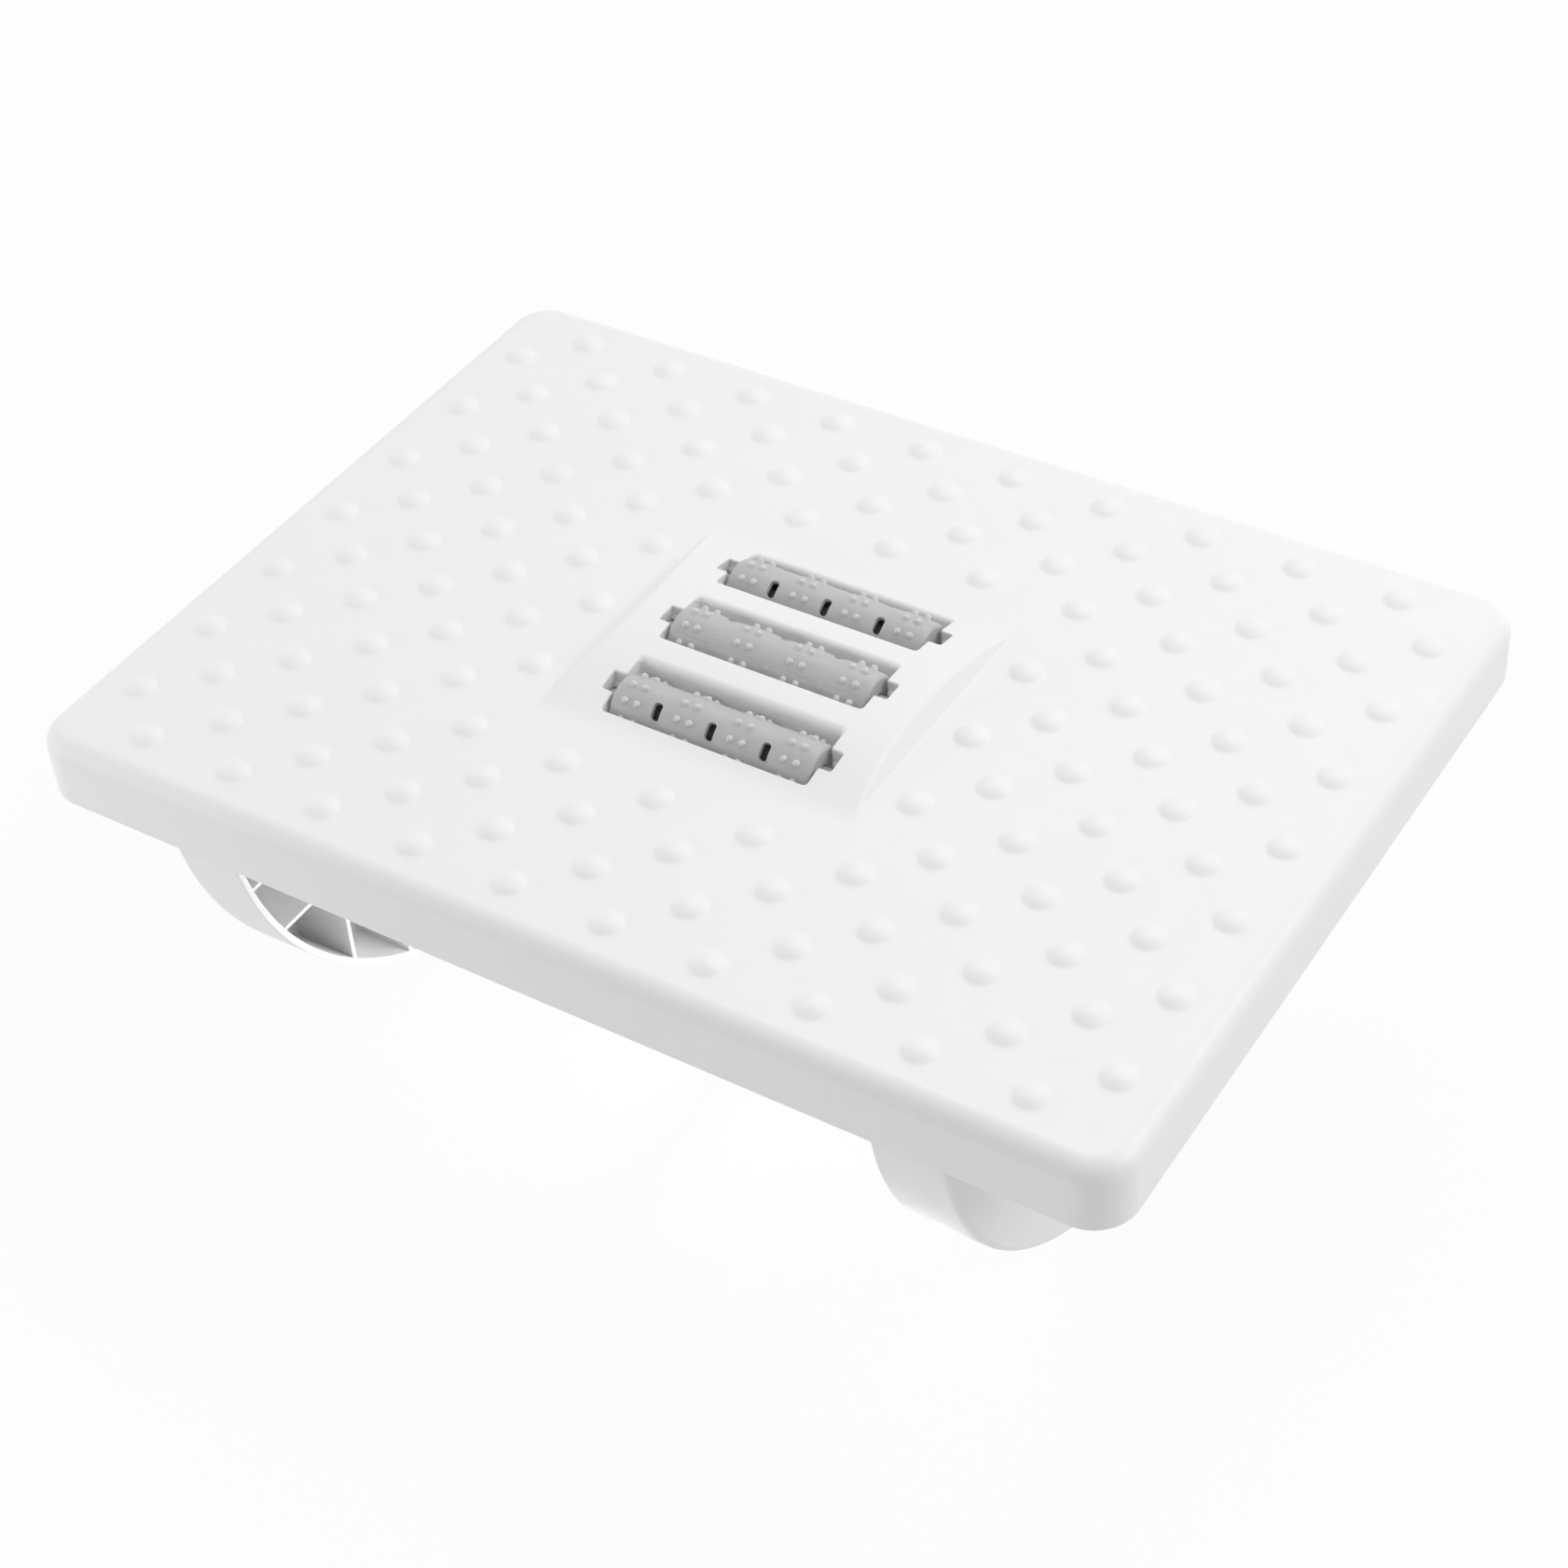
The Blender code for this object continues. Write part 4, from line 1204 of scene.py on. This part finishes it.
@dataclass
class Screws:
    """Pan-head screws with a cross recess, driven up into the deck's bosses."""

    head_radius: float = 0.0035
    head_height: float = 0.0022
    head_edge: float = 0.0008
    shank_radius: float = 0.00175
    shank_length: float = 0.0100
    shank_tip: float = 0.0015
    thread_pitch: float = 0.0007
    thread_turns: tuple[int, int] = (2, 11)  # from this crest to before this one
    thread_half: float = 0.00022
    root_share: float = 0.82
    sides: int = 32
    recess_span: float = 0.0036
    recess_width: float = 0.0009
    recess_depth: float = 0.0011
    recess_past: float = 0.001
    seat: float = 0.1357

    def pattern(self) -> bpy.types.Object:
        """One screw about the origin, its seat at zero and its shank up.

        Its profile of (radius, height) is carried round Z. Along the threaded length the radius
        swings between root and crest in even steps.
        """
        crests = np.arange(*self.thread_turns)
        half, root = self.thread_half, self.shank_radius * self.root_share
        heights = np.repeat(crests * self.thread_pitch, 3) + np.tile([-half, 0, half], len(crests))
        radii = np.tile([root, self.shank_radius, root], len(crests))
        top, edge, flat = self.head_height, self.head_edge, self.head_radius - self.head_edge
        profile = section(
            (0, -top),
            (flat, -top),
            bend((flat, edge - top), edge, -90, 0, steps=4),
            (self.head_radius, 0),
            (root, 0),
            np.stack([radii, heights], -1),
            (root, self.shank_length - self.shank_tip),
            (0, self.shank_length),
        )
        shape = Shape()
        shape.tube(turned(profile, self.sides))
        screw = shape.build("screw_pattern")
        long, short = self.recess_span / 2, self.recess_width / 2
        arm = np.array([(long, -short), (long, short), (short, short)])
        turns = (((0, 1), (-1, 0)), ((-1, 0), (0, -1)), ((0, -1), (1, 0)))
        cross = section(arm, *(arm @ np.array(turn) for turn in turns))
        tool = Shape()
        tool.tube(upright(cross, -top - self.recess_past, self.recess_depth - top))
        carve(screw, tool)
        return screw

    def make(self, rockers: tuple[Rocker, ...]) -> None:
        """A copy of the screw at every place in the rockers."""
        pattern = self.pattern()
        for rocker in rockers:
            for number, (x, y) in enumerate(rocker.screw_places(), 1):
                node = f"{rocker.name()}_screw_{number}"
                screw = bpy.data.objects.new(f"{node}_detailed", pattern.data.copy())
                bpy.context.scene.collection.objects.link(screw)
                screw.data.transform(Matrix.Translation((x, y, self.seat)))
                dress(screw, STEEL, Body.BASE, (node,))
        bpy.data.objects.remove(pattern)


# The rollers


@dataclass
class Roller:
    """A massage roller: two half shells round an axle, with nubs, windows and snap catches."""

    body: Body
    y: float
    z: float
    turn: float  # from +Y towards +Z, in degrees, of the middle of the first half shell
    axle_radius: float = 0.0030
    axle_half: float = 0.0445
    axle_ease: float = 0.0005
    axle_sides: int = 48
    length: float = 0.078
    crown: float = 0.0104
    waist: float = 0.0099
    end_radius: float = 0.0015
    bore: float = 0.0080
    end_wall: float = 0.0025
    seat: float = 0.0033
    seat_ease: float = 0.0003
    barrel_points: int = 49
    round_points: int = 33
    split: float = 0.00002
    cut_inside: float = 0.001
    cut_outside: float = 0.002
    window_pitch: float = 0.0211
    window_width: float = 0.0033
    window_length: float = 0.0066
    window_corner: float = 0.0014
    window_steps: int = 6
    rim_width: float = 0.00055
    rim_rise: float = 0.00012
    rim_offsets: tuple[float, ...] = (0, 0.15, 0.45, 0.75, 1, 1, -0.08, -0.08)  # x rim_width
    rim_rises: tuple[float, ...] = (0.35, 0.85, 1, 0.6, -1.5, -6, -12, -1.5)  # x rim_rise
    nub_rows: int = 5
    nub_pair_pitch: float = 0.0207
    nub_pair_shares: tuple[float, ...] = (-1.5, -0.5, 0.5, 1.5)
    nub_spacing: float = 0.00475
    nub_reach: float = 0.0116
    nub_foot: float = 0.0009
    nub_flank: tuple[tuple[float, float], ...] = ((0.00140, 0.0003), (0.00122, 0.0006))
    nub_foot_radius: float = 0.00160
    nub_edge: float = 0.00085
    nub_edge_start: float = 10  # in degrees, from level
    nub_flat: float = 0.00030
    nub_sides: int = 12
    catch_width: float = 0.0034
    catch_length: float = 0.0056
    catch_columns: tuple[float, ...] = (0, 0.35, 0.7, 0.78, 0.86, 0.93, 1)  # x half its width
    catch_rows: tuple[float, ...] = (0, 0.3, 0.6, 0.82, 0.87, 0.92, 0.96, 1)  # x half its length
    catch_rise: float = 0.00016
    catch_sink: float = 0.0001
    catch_depth: float = 0.0004
    catch_slope: float = 0.00038
    hollow_start: float = 0.0007
    hollow_slope: float = 0.0003
    hollow_depth: float = 0.00007

    def name(self, part: str) -> str:
        """The name of one of the roller's parts."""
        return f"{self.body.value}_{part}"

    def window_places(self) -> tuple[float, ...]:
        """The X of the windows' middles, and of the catches' a quarter turn away."""
        return (-self.window_pitch, 0, self.window_pitch)

    def wall_radius(self, x: np.ndarray) -> np.ndarray:
        """The outside radius along the axle: a shallow barrel between each two windows.

        Where s goes from 0 to 1 along a barrel, the radius is waist + (crown - waist) *
        (sin(pi s) + sin(pi s)^2) / 2.

        Args:
            x: distances from the roller's middle.

        Returns:
            The radii.
        """
        last = self.length / 2 - self.end_radius
        marks = np.array([-last, -self.window_pitch, 0, self.window_pitch, last])
        wave = np.sin(math.pi * (np.interp(x, marks, np.arange(5.0)) % 1))
        return self.waist + (self.crown - self.waist) * (wave + wave**2) / 2

    def wall_section(self) -> np.ndarray:
        """One wall in section, closed, as (x, distance from the axle)."""
        half, end, seat, ease = self.length / 2, self.end_radius, self.seat, self.seat_ease
        inner, middle = half - self.end_wall, (half - end, self.waist - end)
        x = np.linspace(half - end, end - half, self.barrel_points)
        return section(
            (half, seat + ease),
            bend(middle, end, 0, 90, steps=6)[:-1],
            np.stack([x, self.wall_radius(x)], -1),
            bend((-middle[0], middle[1]), end, 90, 180, steps=6)[1:],
            (-half, seat + ease),
            (ease - half, seat),
            (-inner, seat),
            (-inner, self.bore),
            (inner, self.bore),
            (inner, seat),
            (half - ease, seat),
        )

    def around(self, x: np.ndarray, radius: np.ndarray, angle: np.ndarray) -> np.ndarray:
        """Points about the axle: (x, y + radius cos angle, z + radius sin angle), in radians."""
        return xyz(x, self.y + radius * np.cos(angle), self.z + radius * np.sin(angle))

    def half_shell(self, middle: float) -> bpy.types.Object:
        """One half shell with its windows.

        The wall's section is carried round the axle. At the share t, the angle is middle - 90
        degrees + a + t (180 degrees - 2 a), with a = asin(split / radius), so that the split
        faces are flat.

        Args:
            middle: the direction of its middle from +Y towards +Z, in radians.

        Returns:
            The half shell.
        """
        wall = self.wall_section()
        x, radius = wall[:, 0], wall[:, 1]
        start = np.arcsin(self.split / radius)
        share = np.linspace(0, 1, self.round_points)[:, None]
        angle = middle - QUARTER + start + share * (math.pi - 2 * start)
        shape = Shape()
        shape.tube(self.around(x, radius, angle))
        shell = shape.build("half_shell")
        tool = Shape()
        window, _ = self.window()
        rise = np.array([[self.bore - self.cut_inside], [self.crown + self.cut_outside]])
        along, across = window.T
        distance, angle = np.hypot(across, rise), middle + np.arctan2(across, rise)
        for place in self.window_places():
            tool.tube(self.around(place + along, distance, angle))
        carve(shell, tool)
        return shell

    def window(self) -> tuple[np.ndarray, np.ndarray]:
        """A window's outline as (along the axle, round it), and the direction that faces out."""
        half_width, half_length = self.window_width / 2, self.window_length / 2
        corners = np.array([(1, -1), (1, 1), (-1, 1), (-1, -1)]) * (half_width, half_length)
        return rounded(corners, np.full(4, self.window_corner), self.window_steps)

    def window_rims(self, middle: float) -> Shape:
        """The rims of one half shell's windows.

        A closed profile of (offset from the outline, rise over the shell) is carried round each
        window, with its points laid round the axle by their distance across over the waist.
        """
        window, facing = self.window()
        offset = np.array(self.rim_offsets)[:, None, None] * self.rim_width
        lift = np.array(self.rim_rises)[:, None] * self.rim_rise
        plan = window + offset * facing
        shape = Shape()
        for place in self.window_places():
            x = place + plan[..., 0]
            angle = middle + plan[..., 1] / self.waist
            shape.loop(self.around(x, self.wall_radius(x) + lift, angle))
        return shape

    def nubs(self, middle: float) -> Shape:
        """The nubs of one half shell, in pairs along rows that are evenly spaced round it.

        A round-topped stub of (radius, distance from the axle) is carried round its own line,
        then laid at each row's angle.
        """
        foot, edge = self.waist - self.nub_foot, self.nub_edge
        profile = section(
            (0, foot),
            (self.nub_foot_radius, foot),
            *((radius, self.waist + height) for radius, height in self.nub_flank),
            bend((self.nub_flat, self.nub_reach - edge), edge, self.nub_edge_start, 90, steps=4),
            (0, self.nub_reach),
        )
        stub = turned(profile, self.nub_sides)
        rows = middle + math.pi * ((np.arange(self.nub_rows) + 0.5) / self.nub_rows - 0.5)
        shares, side = np.meshgrid(self.nub_pair_shares, (-0.5, 0.5))
        x = (shares * self.nub_pair_pitch + side * self.nub_spacing).ravel()
        angle, x = (run.ravel()[:, None, None] for run in np.meshgrid(rows, x))
        along, across, out = stub[..., 0], stub[..., 1], stub[..., 2]
        place_y = self.y + out * np.cos(angle) - across * np.sin(angle)
        place_z = self.z + out * np.sin(angle) + across * np.cos(angle)
        shape = Shape()
        shape.tubes(xyz(x + along, place_y, place_z))
        return shape

    def catch(self, place: float, angle: float) -> np.ndarray:
        """A snap catch across the split: a thin cushion on the shell, with a shallow hollow.

        Its height over the shell is (rise + sink) m - sink - hollow depth * h. m goes from 0 at
        its edge to 1 a slope further in, as 3 s^2 - 2 s^3 of the distance from the nearest edge,
        and h goes from 0 where the hollow starts to 1 a slope further in.

        Args:
            place: the X of its middle.
            angle: the direction of its middle from +Y towards +Z, in radians.

        Returns:
            The grids of its upper and its lower face, which meet at the edge.
        """
        u = mirrored(np.array(self.catch_columns))[:, None]
        v = mirrored(np.array(self.catch_rows))[None, :]
        half_u, half_v = self.catch_width / 2, self.catch_length / 2
        edge = np.minimum((1 - np.abs(u)) * half_u, (1 - np.abs(v)) * half_v)
        share = np.clip(edge / self.catch_slope, 0, 1)
        mask = share**2 * (3 - 2 * share)
        hollow = np.clip((edge - self.hollow_start) / self.hollow_slope, 0, 1)
        x = place + half_u * u
        base = self.wall_radius(x) - self.catch_sink
        turn = angle + half_v * v / self.waist
        rise = (self.catch_rise + self.catch_sink) * mask - self.hollow_depth * hollow
        distances = (base + rise, base - self.catch_depth * mask)
        return np.stack([self.around(x, distance, turn) for distance in distances])

    def make(self) -> None:
        """The roller's half shells with their nubs, its catches and its axle."""
        turn = math.radians(self.turn)
        for letter, middle in (("a", turn), ("b", turn + math.pi)):
            shell = self.half_shell(middle)
            shell.name = self.name(f"half_{letter}")
            dress(shell, GREY, self.body, (self.name(f"shell_{letter}"),), sharp_above=40)
            nubs = self.nubs(middle).build(self.name(f"nubs_{letter}"))
            # The nubs get the lighter grey, a painted highlight.
            dress(nubs, NUB_HIGHLIGHT_GREY, self.body, sharp_above=50)
            rims = self.window_rims(middle).build(self.name(f"rims_{letter}"))
            dress(rims, GREY, self.body, sharp_above=60)
        catches = Shape()
        for split in (turn - QUARTER, turn + QUARTER):
            for place in self.window_places():
                for face in self.catch(place, split):
                    catches.sheet(face)
        dress(catches.build(self.name("catches")), GREY, self.body, sharp_above=60)
        radius, half, ease = self.axle_radius, self.axle_half, self.axle_ease
        profile = section((0, -half), (radius - ease, -half), (radius, ease - half))
        pin = turned(section(profile, profile[::-1] * (1, -1)), self.axle_sides)
        axle = Shape()
        axle.tube(pin[..., [2, 0, 1]] + (0, self.y, self.z))  # its height becomes X
        dress(axle.build(self.name("pin")), GREY, self.body, (self.name("axle"),))


# The studio


@dataclass
class Viewpoint:
    """The camera, where the photograph was taken from."""

    place: tuple[float, float, float] = (0.4744, -0.6876, 0.8387)
    right: tuple[float, float, float] = (0.84751, 0.52803, -0.05392)
    up: tuple[float, float, float] = (-0.31706, 0.58511, 0.74640)
    ahead: tuple[float, float, float] = (-0.42568, 0.61549, -0.66331)
    lens: float = 73.94
    sensor: float = 36
    clip_end: float = 20

    def make(self) -> None:
        """The scene's camera."""
        camera = bpy.data.objects.new("camera", bpy.data.cameras.new("camera"))
        bpy.context.scene.collection.objects.link(camera)
        camera.data.lens = self.lens
        camera.data.sensor_width = self.sensor
        camera.data.clip_end = self.clip_end
        axes = Matrix((self.right, self.up, [-part for part in self.ahead])).transposed()
        camera.rotation_euler = axes.to_euler()
        camera.location = self.place
        bpy.context.scene.camera = camera


@dataclass(frozen=True)
class SoftLamp:
    """A round soft lamp that looks at the deck."""

    name: str
    azimuth: float  # from +X towards +Y, in degrees
    elevation: float
    power: float
    distance: float
    size: float
    aim: tuple[float, float, float] = (0, 0, 0.1)

    def make(self) -> None:
        """The lamp, at distance * (cos e cos a, cos e sin a, sin e) from what it is aimed at."""
        lamp = new_lamp(self.name, "DISK", self.power)
        lamp.data.size = self.size
        towards = direction(self.azimuth, self.elevation)
        lamp.location = Vector(self.aim) + towards * self.distance
        lamp.rotation_euler = towards.to_track_quat("Z", "Y").to_euler()


@dataclass(frozen=True)
class HiddenLamp:
    """A flat soft lamp under the deck, which the camera doesn't see."""

    name: str
    facing: tuple[float, float, float]
    power: float
    height: float
    size: tuple[float, float]

    def make(self) -> None:
        """The lamp, under the deck's middle and turned the way it faces."""
        lamp = new_lamp(self.name, "RECTANGLE", self.power)
        lamp.data.size, lamp.data.size_y = self.size
        lamp.location = (0, 0, self.height)
        lamp.rotation_euler = (-Vector(self.facing)).to_track_quat("Z", "Y").to_euler()
        lamp.visible_camera = False


def new_lamp(name: str, shape: str, power: float) -> bpy.types.Object:
    """An area lamp of a shape and a power in watts, linked to the scene."""
    lamp = bpy.data.objects.new(name, bpy.data.lights.new(name, "AREA"))
    bpy.context.scene.collection.objects.link(lamp)
    lamp.data.shape = shape
    lamp.data.energy = power
    return lamp


def direction(azimuth: float, elevation: float) -> Vector:
    """The unit vector (cos e cos a, cos e sin a, sin e) of two angles in degrees."""
    turn, rise = math.radians(azimuth), math.radians(elevation)
    level = math.cos(rise)
    return Vector((level * math.cos(turn), level * math.sin(turn), math.sin(rise)))


@dataclass
class Studio:
    """A plain pale floor, a soft pale sky that is dimmer to the front right, and soft lamps."""

    floor_half: float = 3.0
    floor_albedo: float = 0.60
    floor_glow: float = 0.23
    floor_shadow_share: float = 0.10
    sky_strength: float = 0.70
    dim_azimuth: float = -48
    dim_elevation: float = 10
    dim_share: float = 0.45
    dim_inner: float = 29
    dim_outer: float = 61
    lamps: tuple[SoftLamp | HiddenLamp, ...] = (
        SoftLamp("right lamp", 30, 40, 20.3, 2.4, 1.6),
        SoftLamp("back lamp", 102, 52, 12.2, 2.4, 1.6),
        SoftLamp("left lamp", 220, 12, 1.7, 0.94, 0.5),
        HiddenLamp("left inside lamp", (-1, 0, 0), 0.11, 0.065, (0.20, 0.08)),
        HiddenLamp("right inside lamp", (1, 0, 0), 0.11, 0.065, (0.20, 0.08)),
        HiddenLamp("under lamp", (0, 0, 1), 0.26, 0.01, (0.24, 0.24)),
    )

    def seen_share(self, tree: Tree) -> Socket:
        """One where a ray comes from the camera, a mirror or a clear body, else zero."""
        path = add_node(tree, "LightPath", {}).outputs
        seen = path["Is Camera Ray"]
        for ray in ("Is Glossy Ray", "Is Transmission Ray"):
            seen = add_node(tree, "Math", {0: seen, 1: path[ray]}, operation="MAXIMUM").outputs[0]
        return seen

    def make_floor(self) -> None:
        """The floor, which the camera sees as white with a faint share of its shadow."""
        ends = np.array([-self.floor_half, self.floor_half])
        shape = Shape()
        shape.sheet(xyz(ends[None, :], ends[:, None], 0))
        floor = shape.build("floor")
        material = bpy.data.materials.new("pale floor")
        material.use_nodes = True
        tree = material.node_tree
        tree.nodes.clear()
        matt = add_node(tree, "BsdfDiffuse", {"Color": (*[self.floor_albedo] * 3, 1)})
        glow = add_node(tree, "Emission", {"Color": FULL_WHITE, "Strength": self.floor_glow})
        lit = add_node(tree, "AddShader", {0: matt.outputs[0], 1: glow.outputs[0]})
        white = add_node(tree, "Emission", {"Color": FULL_WHITE, "Strength": 1})
        inputs = {0: self.seen_share(tree), 1: 1 - self.floor_shadow_share}
        seen = add_node(tree, "Math", inputs, operation="MULTIPLY")
        inputs = {0: seen.outputs[0], 1: lit.outputs[0], 2: white.outputs[0]}
        mix = add_node(tree, "MixShader", inputs)
        add_node(tree, "OutputMaterial", {"Surface": mix.outputs[0]})
        floor.data.materials.append(material)

    def make_sky(self) -> None:
        """The sky: white where it is seen, else a soft light that dims to the front right.

        Its strength falls as 3 s^2 - 2 s^3, where s goes from 0 to 1 with the cosine of the angle
        to the dim side's middle, between the outer and the inner angle.
        """
        world = bpy.data.worlds.new("studio")
        bpy.context.scene.world = world
        world.use_nodes = True
        tree = world.node_tree
        tree.nodes.clear()
        place = add_node(tree, "TexCoord", {}).outputs["Generated"]
        inputs = {0: place, 1: direction(self.dim_azimuth, self.dim_elevation)}
        cosine = add_node(tree, "VectorMath", inputs, operation="DOT_PRODUCT")
        inputs = {
            "Value": cosine.outputs["Value"],
            "From Min": math.cos(math.radians(self.dim_outer)),
            "From Max": math.cos(math.radians(self.dim_inner)),
            "To Min": self.sky_strength,
            "To Max": self.sky_strength * (1 - self.dim_share),
        }
        strength = add_node(tree, "MapRange", inputs, interpolation_type="SMOOTHSTEP")
        inputs = {"Color": FULL_WHITE, "Strength": strength.outputs[0]}
        light = add_node(tree, "Background", inputs)
        white = add_node(tree, "Background", {"Color": FULL_WHITE, "Strength": 1})
        inputs = {0: self.seen_share(tree), 1: light.outputs[0], 2: white.outputs[0]}
        mix = add_node(tree, "MixShader", inputs)
        add_node(tree, "OutputWorld", {"Surface": mix.outputs[0]})

    def make(self) -> None:
        """The floor, the sky, the lamps and the plain view transform."""
        self.make_floor()
        self.make_sky()
        for lamp in self.lamps:
            lamp.make()
        bpy.context.scene.view_settings.view_transform = "Standard"


def main() -> None:
    """Build the camera and the studio, then the footrest piece by piece."""
    logging.basicConfig(level=logging.INFO, format="%(message)s")
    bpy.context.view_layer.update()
    Viewpoint().make()
    Studio().make()
    Deck().make()
    rockers = (Rocker(Side.LEFT), Rocker(Side.RIGHT))
    for rocker in rockers:
        rocker.make()
    Screws().make(rockers)
    bodies = (Body.BACK_ROLLER, Body.MIDDLE_ROLLER, Body.FRONT_ROLLER)
    for body, axle, turn in zip(bodies, AXLES, ROLLER_TURNS):
        Roller(body, *axle, turn).make()


if __name__ == "__main__":
    main()
